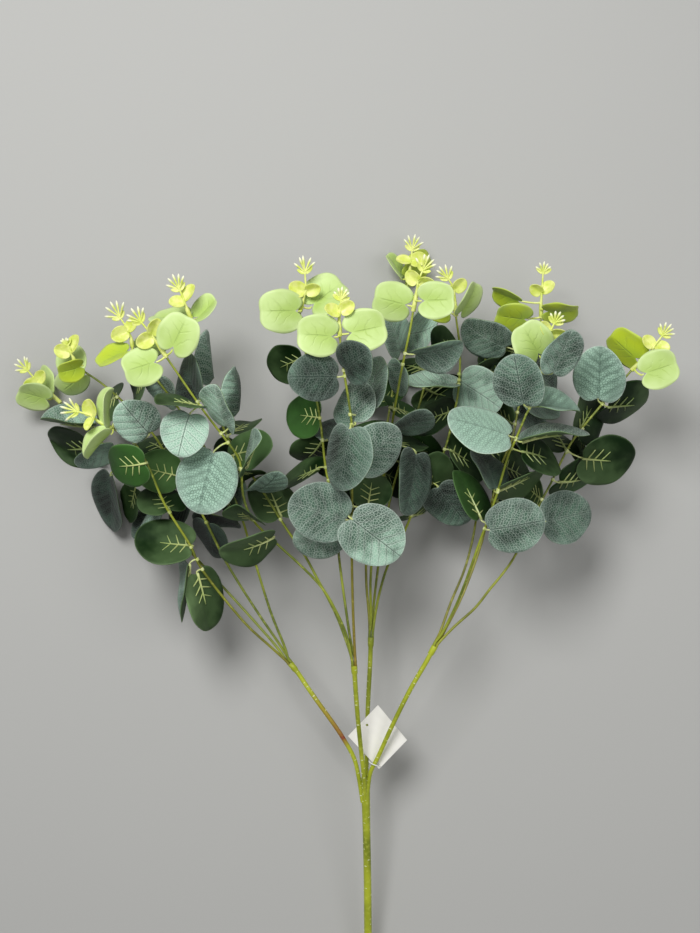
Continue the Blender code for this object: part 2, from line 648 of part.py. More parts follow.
def leaf_pose(leaf, path, change, draw, aspect, longest):
    """Where a leaf's blade starts, which way it runs and how it is turned and bent."""
    _, base, tip, seen, lift, rise, fold = leaf
    swing, pitch, roll_step, more_lift, mirrored = change
    stem = nearest_on(path, spot(*base, path[0].z))
    stem = nearest_on(path, spot(*base, stem.z))
    height = stem.z + lift + more_lift
    start = spot(*base, height)
    run = spot(*tip, height + rise) - start
    length = min(run.length, longest)
    axis = run.normalized()
    level = axis.cross(Vector((0, 0, 1))).normalized()
    axis = Matrix.Rotation(math.radians(pitch), 3, level) @ axis
    axis = Matrix.Rotation(math.radians(swing), 3, "Z") @ axis
    side = Vector((0, 0, 1)).cross(axis).normalized()
    normal = axis.cross(side)
    width = length * aspect
    roll = math.acos(min(seen / width, 1.0)) * (-1 if mirrored else 1) * draw["way"]
    roll += math.radians(roll_step)
    turned = Matrix.Rotation(roll, 3, axis)
    return {
        "base": start, "axis": axis, "side": turned @ side, "normal": turned @ normal,
        "form": (length, width, math.radians(fold) * draw["cup"], draw["bulge"], draw["wave"]),
        "stem": stem,
    }


def changes():
    """Small changes to a leaf's pose, the smallest first."""
    found = []
    for swing in SWINGS:
        for pitch in PITCHES:
            for roll in ROLLS:
                for lift in LIFTS:
                    for mirrored in (False, True):
                        cost = abs(swing) / SWING_STEP + abs(pitch) / PITCH_STEP
                        cost += abs(roll) / ROLL_STEP
                        cost += abs(lift) / LIFT_STEP + mirrored * MIRROR_COST
                        found.append((cost, (swing, pitch, roll, lift, mirrored)))
    found.sort(key=lambda entry: entry[0])
    return [change for _, change in found]


def draws(index):
    chance = random.Random(SEED * 1000 + index)
    return {
        "way": chance.choice((-1, 1)),
        "cup": chance.choice((-1, 1, 1)),
        "bulge": chance.uniform(*BULGES),
        "wave": chance.uniform(*WAVES),
    }


def crosses_itself(shape):
    faces = shape[1]
    whole = tree(shape)
    return any(not set(faces[a]) & set(faces[b]) for a, b in whole.overlap(whole))


def place_leaf(leaf, index, path, placed, own, kind):
    """The first change of pose in which the leaf is clear of all that is placed."""
    aspect, radius = (LIME_ASPECT, LIME_PETIOLE_RADIUS) if kind == "lime" else (
        BLADE_ASPECT, PETIOLE_RADIUS)
    draw = draws(index)
    for longest in LONGEST_BLADES:
        for change in CHANGES:
            pose = leaf_pose(leaf, path, change, draw, aspect, longest)
            if pose["base"].z < LOWEST_BASE:
                continue
            thick = BLADE_THICKNESS + 2 * CLEARANCE
            test = tree(blade(pose, thick))
            if any(test.overlap(other) for _, other in placed):
                continue
            whole = tree(blade(pose, thick, stalk=radius + STALK_CLEARANCE))
            if any(whole.overlap(other) for node, other in placed if node != own):
                continue
            if crosses_itself(blade(pose, BLADE_THICKNESS, stalk=radius)):
                continue
            return pose
    print("no clear place:", leaf)
    return None


def tip_shapes(name, path):
    """The moulded tip: sleeve, slim stem, leaflets in pairs and a spread of buds."""
    plan = TIPS[name]
    end = path[-1]
    way = (path[-1] - path[-2]).normalized()
    start = end + way * JOINT_GAP
    points = [spot(*p, end.z + rise) for p, rise in zip(plan, TIP_RISES)]
    sleeve, node, crown = points
    forward = (crown - node).to_2d().to_3d().normalized()
    across = forward.cross(Vector((0, 0, 1)))
    line = [start, sleeve, sleeve.lerp(node, SLEEVE_END), node, crown,
            crown + forward * BUD_LENGTH * BUD_WIDEST, crown + forward * BUD_LENGTH]
    radii = [SLEEVE_RADIUS, SLEEVE_RADIUS * SLEEVE_TAPER, TIP_STEM_RADIUS, TIP_STEM_RADIUS,
             TIP_STEM_RADIUS * TIP_STEM_TAPER, BUD_RADIUS, BUD_END_RADIUS]
    shapes = [tube(line, radii, TIP_SIDES, first_way=way)]
    lean = forward * LEAFLET_LEAN[0] + Vector((0, 0, LEAFLET_LEAN[1]))
    for way in (-1, 1):
        middle = node + forward * (way * LEAFLET_STEP)
        axis = (across * way + lean).normalized()
        side = Vector((0, 0, 1)).cross(axis).normalized()
        pose = {
            "base": middle + axis * LEAFLET_START, "axis": axis, "side": side, "stem": middle,
            "normal": axis.cross(side),
            "form": (LEAFLET_LENGTH, LEAFLET_LENGTH * LEAFLET_ASPECT, LEAFLET_FOLD,
                     LEAFLET_BULGE, 0.0),
        }
        shapes.append(
            blade(pose, LEAFLET_THICKNESS, LEAFLET_OUTLINE, LEAFLET_RIB, LEAFLET_STALK)
        )
    for back, turn, up in SIDE_BUDS:
        root = crown - (crown - node) * back
        heading = Matrix.Rotation(math.radians(turn), 3, "Z") @ forward
        heading = (heading + Vector((0, 0, up))).normalized()
        line = [root, root + heading * BUD_LENGTH * BUD_WIDEST,
                root + heading * BUD_LENGTH * BUD_END]
        radii = [BUD_STALK_RADIUS, BUD_RADIUS, BUD_END_RADIUS]
        shapes.append(tube(line, radii, BUD_SIDES, turn=BUD_TURN))
    return shapes


for old in list(bpy.data.objects):
    bpy.data.objects.remove(old)
CHANGES = changes()

stem_shapes = [
    tube([spot(*p[:3]) for p in MAIN_STEM], [p[3] for p in MAIN_STEM], MAIN_STEM_SIDES)
]
for name, points in BRANCHES.items():
    line = [spot(*p) for p in points]
    end, run = line[-1], line[-1] - line[-2]
    way = run.normalized()
    socket_start = end - way * SOCKET_LENGTH
    if run.length > SOCKET_LENGTH + SOCKET_RUN_IN + 1:
        run_in = end - way * (SOCKET_LENGTH + SOCKET_RUN_IN)
        line = line[:-1] + [run_in, socket_start, end]
    else:
        line = line[:-2] + [socket_start, end]
    radii = even_change(BRANCH_RADII, len(line))
    radii[-2:] = [SOCKET_RADIUS * SOCKET_TAPER, SOCKET_RADIUS]
    stem_shapes.append(tube(line, radii, BRANCH_SIDES))

paths = {name: twig_path(name) for name in TWIGS}
twig_shapes = {}
for name, path in paths.items():
    twig_shapes[name] = [tube(path, even_change(TWIG_RADII, len(path)), TWIG_SIDES)]
lime_shapes = {name: tip_shapes(name, paths[name]) for name in TIPS}

# what every leaf keeps clear of
placed = [("main_stem", tree(shape)) for shape in stem_shapes]
placed += [(name, tree(shapes[0])) for name, shapes in twig_shapes.items()]
placed += [("tip" + name, tree(shape)) for name, shapes in lime_shapes.items() for shape in shapes]
problems = []
for k, (first, one) in enumerate(placed):
    for second, two in placed[k + 1:]:
        if first != second and one.overlap(two):
            problems.append((first, second))
if problems:
    print("stems that cross:", sorted(set(problems)))

for index, leaf in enumerate(LIME_LEAVES):
    own = "tip" + leaf[0]
    end = paths[leaf[0]][-1]
    way = (paths[leaf[0]][-1] - paths[leaf[0]][-2]).normalized()
    sleeve = spot(*TIPS[leaf[0]][0], end.z + TIP_RISES[0])
    line = [end + way * 2.0, sleeve]
    pose = place_leaf(leaf, index, line, placed, own, "lime")
    if pose:
        shape = blade(pose, BLADE_THICKNESS, stalk=LIME_PETIOLE_RADIUS)
        lime_shapes[leaf[0]].append(shape)
        placed.append((own, tree(shape)))

for index, leaf in enumerate(LEAVES):
    own = leaf[0]
    pose = place_leaf(leaf, 100 + index, paths[own], placed, own, "leaf")
    if pose:
        shape = blade(pose, BLADE_THICKNESS, stalk=PETIOLE_RADIUS)
        twig_shapes[own].append(shape)
        placed.append((own, tree(shape)))

make("main_stem", stem_shapes, "stem")
for name in TWIGS:
    make("leafy_" + name, twig_shapes[name], "leaf")
    if name in lime_shapes:
        make("lime_tip_" + name[-2:], lime_shapes[name], "lime")

heights = [TAG_HEIGHTS[0], sum(TAG_HEIGHTS) / 2, TAG_HEIGHTS[1], sum(TAG_HEIGHTS) / 2]
corners = [spot(*corner, height) for corner, height in zip(TAG_CORNERS, heights)]
facing = (corners[2] - corners[0]).cross(corners[1] - corners[3]).normalized()
if facing.z < 0:
    facing = -facing
verts = [c + facing * (TAG_THICKNESS / 2) for c in corners]
verts += [c - facing * (TAG_THICKNESS / 2) for c in corners]
faces = [(3, 2, 1, 0), (4, 5, 6, 7)] + [(k, (k + 1) % 4, (k + 1) % 4 + 4, k + 4) for k in range(4)]
tag = make("tag", [(verts, faces)], "tag")
tag_middle = (corners[0] + corners[2]) / 2
loop_middle = spot(*LOOP_MIDDLE)
loop_way = spot(*BRANCHES["right"][2]) - spot(*BRANCHES["right"][1])
loop_way = Vector((loop_way.x, loop_way.y, 0)).normalized()
loop_side = loop_way.cross(Vector((0, 0, 1))).normalized()
loop_up = loop_side.cross(loop_way)
passing = []
for k in range(HOLE_SEARCH):
    angle = 2 * math.pi * k / HOLE_SEARCH
    point = loop_middle + LOOP_RADIUS * (math.cos(angle) * loop_side + math.sin(angle) * loop_up)
    if abs((point - tag_middle).dot(facing)) < HOLE_NEAR:
        passing.append(point)
hole_middle = max(passing, key=lambda p: p.x)
slope = (TAG_HEIGHTS[1] - TAG_HEIGHTS[0]) / (TAG_CORNERS[2][1] - TAG_CORNERS[0][1])
eye_middle = spot(*TAG_EYE, TAG_HEIGHTS[0] + slope * (TAG_EYE[1] - TAG_CORNERS[0][1]))
cut(tag, [ring_cut(hole_middle, facing, TAG_HOLE_RADIUS),
          ring_cut(eye_middle, facing, TAG_EYE_RADIUS)])

loop_points = []
for k in range(LOOP_STEPS):
    angle = 2 * math.pi * k / LOOP_STEPS
    loop_points.append(
        loop_middle + LOOP_RADIUS * (math.cos(angle) * loop_side + math.sin(angle) * loop_up)
    )
verts, faces = [], []
for k, point in enumerate(loop_points):
    out = (point - loop_middle).normalized()
    for j in range(LOOP_SIDES):
        angle = 2 * math.pi * j / LOOP_SIDES
        verts.append(point + LOOP_WIRE * (math.cos(angle) * out + math.sin(angle) * loop_way))
for k in range(LOOP_STEPS):
    for j in range(LOOP_SIDES):
        a, b = k * LOOP_SIDES + j, k * LOOP_SIDES + (j + 1) % LOOP_SIDES
        after = (k + 1) % LOOP_STEPS * LOOP_SIDES
        c, d = after + (j + 1) % LOOP_SIDES, after + j
        faces.append((a, b, c, d))
make("tag_loop", [(verts, faces)], "loop")

# origin: the middle of the box under the branch
bodies = [body for body in bpy.data.objects if body.type == "MESH"]
all_points = [vertex.co for body in bodies for vertex in body.data.vertices]
low = Vector([min(p[k] for p in all_points) for k in range(3)])
high = Vector([max(p[k] for p in all_points) for k in range(3)])
shift = Matrix.Translation(-Vector(((low.x + high.x) / 2, (low.y + high.y) / 2, low.z)))
for body in bodies:
    body.data.transform(shift)
print("box", [round(v / MM, 1) for v in high - low], "lowest", round(low.z / MM, 3))
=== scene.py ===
import math
import random

import bpy
import numpy as np
from mathutils import Matrix, Vector
from mathutils.kdtree import KDTree


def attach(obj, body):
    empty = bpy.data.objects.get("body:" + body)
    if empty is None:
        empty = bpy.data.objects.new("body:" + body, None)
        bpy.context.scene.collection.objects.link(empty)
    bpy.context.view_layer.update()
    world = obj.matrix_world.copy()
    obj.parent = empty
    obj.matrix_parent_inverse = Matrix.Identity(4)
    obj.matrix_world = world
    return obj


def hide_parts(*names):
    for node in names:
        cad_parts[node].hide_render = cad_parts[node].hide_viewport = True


# A eucalyptus branch that lies on its lowest leaves, with its tips towards +Y.
# Plan positions are millimetres across and down a flat sheet under the branch, seen from above.
# Heights are millimetres over the surface that it lies on.

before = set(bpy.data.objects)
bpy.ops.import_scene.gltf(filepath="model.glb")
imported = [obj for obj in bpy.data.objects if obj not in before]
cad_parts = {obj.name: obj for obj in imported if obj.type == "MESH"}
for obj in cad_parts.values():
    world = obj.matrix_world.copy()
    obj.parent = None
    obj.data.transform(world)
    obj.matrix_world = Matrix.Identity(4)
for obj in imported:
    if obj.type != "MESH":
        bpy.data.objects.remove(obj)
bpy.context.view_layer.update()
bpy.ops.object.select_all(action="DESELECT")
mm = 0.001

sheet = {
    "middle": (350.0, 466.5),
    "eyeHeight": 1410.0,  # where the sheet is seen from
    "trueSizeHeight": 110.0,  # plan positions are true size at this height
    "stemEnd": (369.5, 1049.0, 4.3),  # the middle of the cut end
}


def flatSpot(across, down, height):
    spread = (sheet["eyeHeight"] - height) / (sheet["eyeHeight"] - sheet["trueSizeHeight"])
    x = (across - sheet["middle"][0]) * spread
    return Vector((x, (sheet["middle"][1] - down) * spread, height))


def stemFoot():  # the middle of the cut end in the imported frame
    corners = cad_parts["main_stem"].data.vertices
    ends = {tuple(round(c / mm, 3) for c in corner.co) for corner in corners}
    lowest = min(point[1] for point in ends)
    ring = [point for point in ends if point[1] < lowest + 10]
    return Vector(np.mean(ring, axis=0))


shift = stemFoot() - flatSpot(*sheet["stemEnd"])


def spot(across, down, height):
    return flatSpot(across, down, height) + shift


# finishes


def colour(code):  # a web colour as the shader wants it
    parts = [int(code[k:k + 2], 16) / 255 for k in (1, 3, 5)]
    return tuple(c / 12.92 if c <= 0.04045 else ((c + 0.055) / 1.055) ** 2.4 for c in parts) + (1,)


class Wire:  # a shader socket that works in sums
    def __init__(self, finish, socket):
        self.finish = finish
        self.socket = socket

    def maths(self, operation, *values):
        return self.finish.node("ShaderNodeMath", {"operation": operation}, dict(enumerate(values)))

    def __add__(self, other):
        return self.maths("ADD", self, other)

    def __radd__(self, other):
        return self.maths("ADD", other, self)

    def __sub__(self, other):
        return self.maths("SUBTRACT", self, other)

    def __rsub__(self, other):
        return self.maths("SUBTRACT", other, self)

    def __mul__(self, other):
        return self.maths("MULTIPLY", self, other)

    def __rmul__(self, other):
        return self.maths("MULTIPLY", other, self)

    def __truediv__(self, other):
        return self.maths("DIVIDE", self, other)

    def __abs__(self):
        return self.maths("ABSOLUTE", self)

    def fraction(self):
        return self.maths("FRACT", self)

    def clamped(self):
        return self.maths("MINIMUM", self.maths("MAXIMUM", self, 0.0), 1.0)

    def fade(self, start, end):  # 0 before start, 1 after end
        inputs = {"Value": self, "From Min": start, "From Max": end}
        return self.finish.node("ShaderNodeMapRange", {"interpolation_type": "SMOOTHSTEP"}, inputs)


class Finish:  # one material
    def __init__(self, name):
        self.material = bpy.data.materials.new(name)
        self.material.use_nodes = True
        self.tree = self.material.node_tree
        self.shader = self.tree.nodes["Principled BSDF"]

    def node(self, kind, settings=None, inputs=None, output=0):
        made = self.tree.nodes.new(kind)
        for key, value in (settings or {}).items():
            setattr(made, key, value)
        for key, value in (inputs or {}).items():
            if isinstance(value, Wire):
                self.tree.links.new(value.socket, made.inputs[key])
            else:
                made.inputs[key].default_value = value
        return Wire(self, made.outputs[output])

    def mix(self, factor, first, second):
        inputs = {0: factor, 6: first, 7: second}
        return self.node("ShaderNodeMix", {"data_type": "RGBA"}, inputs, 2)

    def shades(self, light, first, *steps):  # one colour fades into the next as the light grows
        ground = colour(first)
        for start, end, code in steps:
            ground = self.mix(light.fade(start, end), ground, colour(code))
        return ground

    def mark(self, name):  # a value that the mesh carries
        return self.node("ShaderNodeAttribute", {"attribute_name": name}, {}, 2)

    def bladePlace(self):  # millimetres across and along the blade, and the leaf's number
        place = self.node("ShaderNodeAttribute", {"attribute_name": "blade"}, {}, 1)
        split = self.node("ShaderNodeSeparateXYZ", {}, {0: place}).socket.node
        return [Wire(self, split.outputs[k]) for k in range(3)]

    def joined(self, x, y, z):
        return self.node("ShaderNodeCombineXYZ", {}, {0: x, 1: y, 2: z})

    def noise(self, where, scale, detail=2.0):
        inputs = {"Vector": where, "Scale": scale, "Detail": detail}
        return self.node("ShaderNodeTexNoise", {}, inputs)

    def cells(self, where, scale):  # how far from the edge of a cell
        settings = {"voronoi_dimensions": "2D", "feature": "DISTANCE_TO_EDGE"}
        inputs = {"Vector": where, "Scale": scale, "Randomness": 0.85}
        return self.node("ShaderNodeTexVoronoi", settings, inputs)

    def slope(self, across, along, number):  # painted light: each blade is lighter towards one side and darker towards the other
        way = (number * 0.618).fraction() - 0.5
        other = (number * 0.271).fraction() - 0.5
        return way * (along - 26.0) * 0.022 + other * across * 0.022

    def objectPlace(self):
        return self.node("ShaderNodeTexCoord", {}, {}, 3)

    def bump(self, height, strength, distance):
        inputs = {"Height": height, "Strength": strength, "Distance": distance}
        return self.node("ShaderNodeBump", {}, inputs)

    def set(self, **values):
        for key, value in values.items():
            socket = self.shader.inputs[key.replace("_", " ")]
            if isinstance(value, Wire):
                self.tree.links.new(value.socket, socket)
            else:
                socket.default_value = value
        return self.material


faceFinish = {
    # deep, shade, ground and lit: the face's colour from painted deep shade to painted full light
    "deep": "#0b120d",
    "shade": "#263a2e",
    "ground": "#466351",
    "lit": "#95b9a2",
    "net": "#deeddf",
    "darkNet": "#3f5446",
    "darkLine": "#2f4a3d",
    "bloom": "#a9c3b3",
    "vein": "#24382f",
    "cell": 0.4,  # cells of the vein net to a millimetre
    "netLine": (0.02, 0.14),  # how far a line of the net fades from a cell's edge
    "sideVeinStep": 8.5,
    "sideVeinSlant": 0.75,
    "sideVein": (0.15, 0.75),  # where a vein starts to fade and is gone, from its middle
    "besideSideVein": (0.6, 2.2),
    "midrib": (0.25, 0.85),
    "besideMidrib": (0.7, 2.2),
    "roughness": 0.6,
    "relief": 0.0006,
}


def makeFace():
    d = faceFinish
    finish = Finish("leafFace")
    across, along, number = finish.bladePlace()
    paintedLightAndHue, rim = finish.mark("paintedLightAndHue"), finish.mark("rim")
    own = (number * 0.618).fraction()  # each leaf's own number from 0 to 1
    where = finish.joined(across, along, number * 7.3)
    wobble = finish.noise(where, 0.07, 3.0)
    away = abs(across)
    # side veins leave the midrib at a slant and curve towards the tip
    rise = along - away * d["sideVeinSlant"] + away * away * 0.006 + wobble * 5.0
    slot = abs((rise / d["sideVeinStep"]).fraction() - 0.5) * d["sideVeinStep"]
    sideVein = 1 - slot.fade(*d["sideVein"])
    beside = (1 - slot.fade(*d["besideSideVein"])) * (1 - sideVein)
    midrib = 1 - away.fade(*d["midrib"])
    besideMidrib = (1 - away.fade(*d["besideMidrib"])) * (1 - midrib)
    rows = finish.joined(across * 0.95 + number * 31.0 + wobble * 6.0,
                         along * 0.7 + rise * 0.25 + number * 17.0, 0.0)
    net = 1 - finish.cells(rows, d["cell"]).fade(*d["netLine"])
    patches = finish.noise(where, 0.045)
    # painted light and shade: the leaf's tone, large patches, a slope across the blade and lighter
    # pillows between the side veins pick the ground colour from deep shade to lit
    paintedPillowLight = slot.fade(0.4, 3.6) * (1 - away.fade(12.0, 24.0))
    light = paintedLightAndHue * 1.2 - 0.08 + (patches - 0.5) * 1.05 + finish.slope(across, along, number)
    light = (light + (paintedPillowLight - 0.5) * patches * 0.16).clamped()
    darkNet = (number * 0.414).fraction().fade(0.62, 0.7) * paintedLightAndHue.fade(0.5, 0.75)  # dark on some
    ground = finish.shades(light, d["deep"], (0.0, 0.28, d["shade"]), (0.28, 0.62, d["ground"]),
                           (0.62, 1.0, d["lit"]))
    ground = finish.mix(darkNet * 0.3, ground, colour(d["bloom"]))
    # painted shade on the net: it is darker and fainter on leaves and patches in painted shade
    netColour = finish.mix(paintedLightAndHue.fade(0.0, 0.8), colour(d["darkNet"]), colour(d["net"]))
    netColour = finish.mix(darkNet, netColour, colour(d["darkLine"]))
    strength = (0.44 + 0.2 * paintedLightAndHue + 0.2 * darkNet) * (0.6 + 0.4 * patches.fade(0.3, 0.6))
    ground = finish.mix((net * strength).clamped(), ground, netColour)
    ground = finish.mix(((beside + besideMidrib) * 0.45 * strength).clamped(), ground, netColour)
    darkVeins = own.fade(0.25, 0.75)
    ground = finish.mix(sideVein * (0.1 + 0.3 * darkVeins), ground, colour(d["vein"]))
    ground = finish.mix(midrib * (0.2 + 0.4 * darkVeins), ground, colour(d["vein"]))
    # the pale rim is the face's own print, painted fainter on leaves in painted shade
    ground = finish.mix(rim.fade(0.6, 1.0) * (0.05 + 0.3 * paintedLightAndHue), ground, colour(d["bloom"]))
    ground = finish.mix(rim.fade(0.95, 1.0) * (0.08 + 0.45 * paintedLightAndHue), ground, colour(d["net"]))
    height = slot.fade(0.0, 3.0) * (0.5 + own) + net * 0.35 - midrib
    return finish.set(Base_Color=ground, Roughness=d["roughness"],
                      Normal=finish.bump(height, 0.5, d["relief"]),
                      Specular_IOR_Level=0.25, Sheen_Weight=0.04, Sheen_Roughness=0.5)


backFinish = {
    # shade, ground and lit: the back's colour from painted shade to painted light; vividShade and
    # vivid the same for the fresh green ones
    "shade": "#0c2407",
    "ground": "#445b37",
    "lit": "#7b9866",
    "vividShade": "#12270c",
    "vivid": "#467534",
    "rim": "#829e6d",
    "roughness": 0.46,
    "relief": 0.0003,
}


def makeBack():
    d = backFinish
    finish = Finish("leafBack")
    across, along, number = finish.bladePlace()
    paintedLightAndHue, rim = finish.mark("paintedLightAndHue"), finish.mark("rim")
    where = finish.joined(across, along, number * 5.1)
    patches = finish.noise(where, 0.06)
    weave = finish.noise(where, 1.6)
    # painted light and shade: the leaf's tone, patches and a slope across the blade pick the colour
    # from shade to lit
    light = (paintedLightAndHue + (patches - 0.5) * 0.5 + finish.slope(across, along, number)).clamped()
    ground = finish.shades(light, d["shade"], (0.0, 0.45, d["ground"]), (0.45, 1.0, d["lit"]))
    vivid = finish.mix(light, colour(d["vividShade"]), colour(d["vivid"]))
    own = (number * 0.41).fraction()  # most are olive, a few a fresh green
    ground = finish.mix(own.fade(0.82, 0.92), ground, vivid)
    ground = finish.mix(rim.fade(0.95, 1.0) * (0.1 + 0.5 * paintedLightAndHue), ground, colour(d["rim"]))
    return finish.set(Base_Color=ground, Roughness=d["roughness"] + 0.12 * weave,
                      Normal=finish.bump(weave, 0.2, d["relief"]), Specular_IOR_Level=0.15)


ribFinish = {
    "base": "#cbd58c",
    "end": "#a3b96c",
    "shade": "#4f6a2a",
    "roughness": 0.42,
    "relief": 0.0003,
}


def makeRib():
    d = ribFinish
    finish = Finish("paleRib")
    across, along, number = finish.bladePlace()
    where = finish.joined(across, along, number * 3.7)
    ground = finish.shades(along, d["base"], (5.0, 42.0, d["end"]))
    # painted shade: the ribs of a leaf in painted shade are darker
    paintedShade = (1 - finish.mark("paintedLightAndHue").fade(0.0, 0.55)) * 0.65
    ground = finish.mix(paintedShade, ground, colour(d["shade"]))
    normal = finish.bump(finish.noise(where, 0.5), 0.3, d["relief"])
    return finish.set(Base_Color=ground, Roughness=d["roughness"], Normal=normal)


limeFinish = {
    # shade is the olive leaves' own colour, ground and lit the pale ones'
    "shade": "#c2d62e",
    "ground": "#aac762",
    "lit": "#cbe296",
    "heart": "#9fc03c",
    "paintedCreaseShade": "#8aa850",
    "rim": "#e0efb8",
    "sideVeinStep": 10.0,
    "midrib": (0.2, 1.1),
    "roughness": 0.5,
    "relief": 0.0008,
}


def makeLime():
    d = limeFinish
    finish = Finish("limeLeaf")
    across, along, number = finish.bladePlace()
    paintedLightAndHue, rim = finish.mark("paintedLightAndHue"), finish.mark("rim")
    where = finish.joined(across, along, number * 7.3)
    away = abs(across)
    rise = along - away * 0.8 + finish.noise(where, 0.08, 3.0) * 16.0
    sideVein = 1 - abs((rise / d["sideVeinStep"]).fraction() - 0.5).fade(0.0, 0.14)
    midrib = 1 - away.fade(*d["midrib"])
    patches = finish.noise(where, 0.05)
    # the leaf's tone gives its own hue, from olive to pale lime; patches add painted light and
    # shade
    light = (paintedLightAndHue + (patches - 0.5) * 0.55).clamped()
    ground = finish.shades(light, d["shade"], (0.2, 0.65, d["ground"]), (0.5, 1.0, d["lit"]))
    heart = (1 - away.fade(1.0, 15.0)) * (1 - along.fade(14.0, 42.0))
    ground = finish.mix(heart * (0.25 + 0.5 * patches), ground, colour(d["heart"]))
    inner = 1 - rim.fade(0.35, 0.85)
    # painted shade in the creases along the side veins and the midrib
    lines = (sideVein * patches.fade(0.4, 0.6) * 0.2 + midrib * 0.26).clamped()
    ground = finish.mix(lines * inner, ground, colour(d["paintedCreaseShade"]))
    ground = finish.mix(rim.fade(0.8, 1.0) * 0.4 * paintedLightAndHue, ground, colour(d["rim"]))
    normal = finish.bump((0 - sideVein * 0.6 - midrib) * inner, 0.5, d["relief"])
    return finish.set(Base_Color=ground, Roughness=d["roughness"], Normal=normal,
                      Sheen_Weight=0.1, Sheen_Roughness=0.5)


tipFinish = {
    "root": "#d2df60",
    "ground": "#eaef92",
    "end": "#f8f8de",
    "roughness": 0.38,
    "relief": 0.0003,
}


def makeTip():
    d = tipFinish
    finish = Finish("mouldedTip")
    place = finish.objectPlace()
    ground = finish.shades(finish.noise(place, 160.0), d["root"], (0.3, 0.7, d["ground"]))
    ground = finish.mix(finish.mark("paintedLightAndHue").fade(0.55, 1.0), ground, colour(d["end"]))
    normal = finish.bump(finish.noise(place, 700.0), 0.15, d["relief"])
    return finish.set(Base_Color=ground, Roughness=d["roughness"], Normal=normal)


stemFinish = {
    "shade": "#7d891b",
    "ground": "#b2bc2c",
    "lit": "#ccd25c",
    "red": "#8c3f26",
    "roughness": 0.42,
    "relief": 0.0004,
}
# the twigs: the stem's finish painted darker all over, for the shade of the leaves over them
shadedTwigFinish = {
    "shade": "#5f6d1c",
    "ground": "#949f2d",
    "lit": "#bcc45a",
    "red": "#8c3f26",
    "roughness": 0.45,
    "relief": 0.0004,
}


def makeStem(name, d):
    finish = Finish(name)
    place = finish.objectPlace()
    streaks, specks = finish.noise(place, 22.0, 3.0), finish.noise(place, 240.0)
    # painted shade and light at random: darker streaks and pale specks
    ground = finish.shades(streaks, d["shade"], (0.35, 0.65, d["ground"]))
    ground = finish.mix(specks.fade(0.5, 0.8) * 0.6, ground, colour(d["lit"]))
    redness = (finish.mark("paintedLightAndHue") * (0.6 + specks * 0.8)).clamped()
    ground = finish.mix(redness, ground, colour(d["red"]))
    return finish.set(Base_Color=ground, Roughness=d["roughness"],
                      Normal=finish.bump(specks, 0.3, d["relief"]))


petioleFinish = {
    "base": "#c3cf6a",
    "end": "#e2e8ae",
    "shade": "#7d8f2a",
    "roughness": 0.4,
    "relief": 0.0003,
}


def makePetiole():
    d = petioleFinish
    finish = Finish("paleStalk")
    grain = finish.noise(finish.objectPlace(), 300.0)
    ground = finish.shades(grain, d["base"], (0.3, 0.7, d["end"]))
    # painted shade: the stalk of a leaf in painted shade is darker
    paintedShade = (1 - finish.mark("paintedLightAndHue").fade(0.0, 0.45)) * 0.55
    ground = finish.mix(paintedShade, ground, colour(d["shade"]))
    return finish.set(Base_Color=ground, Roughness=d["roughness"],
                      Normal=finish.bump(grain, 0.2, d["relief"]))


scarFinish = {"ground": "#cdd486", "lit": "#e9ecc0", "roughness": 0.5}


def makeScar():
    d = scarFinish
    finish = Finish("paleScar")
    grain = finish.noise(finish.objectPlace(), 500.0)
    ground = finish.shades(grain, d["ground"], (0.3, 0.7, d["lit"]))
    return finish.set(Base_Color=ground, Roughness=d["roughness"])


cardFinish = {"ground": "#f3f1ea", "lit": "#ebe9e2", "roughness": 0.62, "relief": 0.0002}


def makeCard():
    d = cardFinish
    finish = Finish("whiteCard")
    place = finish.objectPlace()
    fibre = finish.noise(place, 900.0, 3.0)
    ground = finish.shades(finish.noise(place, 60.0), d["ground"], (0.3, 0.7, d["lit"]))
    return finish.set(Base_Color=ground, Roughness=d["roughness"] + 0.1 * fibre,
                      Normal=finish.bump(fibre, 0.12, d["relief"]))


nylonFinish = {"ground": "#e3e6dc", "lit": "#f4f5ee", "roughness": 0.2}


def makeNylon():
    d = nylonFinish
    finish = Finish("nylonLoop")
    sheen = finish.noise(finish.objectPlace(), 400.0)
    ground = finish.shades(sheen, d["ground"], (0.3, 0.7, d["lit"]))
    return finish.set(Base_Color=ground, Roughness=d["roughness"] + 0.1 * sheen)


finishes = {
    "face": makeFace(), "back": makeBack(), "rib": makeRib(), "lime": makeLime(),
    "tip": makeTip(), "stem": makeStem("oliveStem", stemFinish),
    "twig": makeStem("shadedOliveTwig", shadedTwigFinish), "petiole": makePetiole(), "scar": makeScar(),
    "card": makeCard(), "nylon": makeNylon(),
}
print("finishes made")

# lines that the stems and twigs follow

mainStemLine = [  # across, down, height, radius
    (369.5, 1049.0, 4.3, 4.2), (369.0, 1000.0, 14.0, 4.0), (368.0, 933.0, 30.0, 3.8),
    (367.5, 880.0, 43.0, 3.7), (366.5, 830.0, 56.0, 3.7), (365.5, 790.0, 65.0, 4.3),
    (365.0, 777.0, 67.5, 3.6),
]
branchLines = {
    "left": [
        (362.5, 802, 63), (359, 779, 67), (354, 758, 70), (343, 738, 73), (333, 723, 75),
        (320, 705, 78), (308, 688, 81), (298, 673, 84), (290, 663, 86),
    ],
    "front": [
        (365, 804, 64), (364, 778, 74), (361, 750, 88), (358, 720, 100), (356, 695, 112),
        (354, 665, 125),
    ],
    "back": [
        (366, 800, 60), (366.5, 770, 60), (367, 740, 60), (368, 703, 60), (370, 665, 62),
        (371, 637, 64),
    ],
    "right": [
        (367, 800, 64), (370, 774, 71), (378, 757, 79), (394, 722, 90), (410, 690, 97),
        (425, 664, 102), (435, 646, 105),
    ],
}
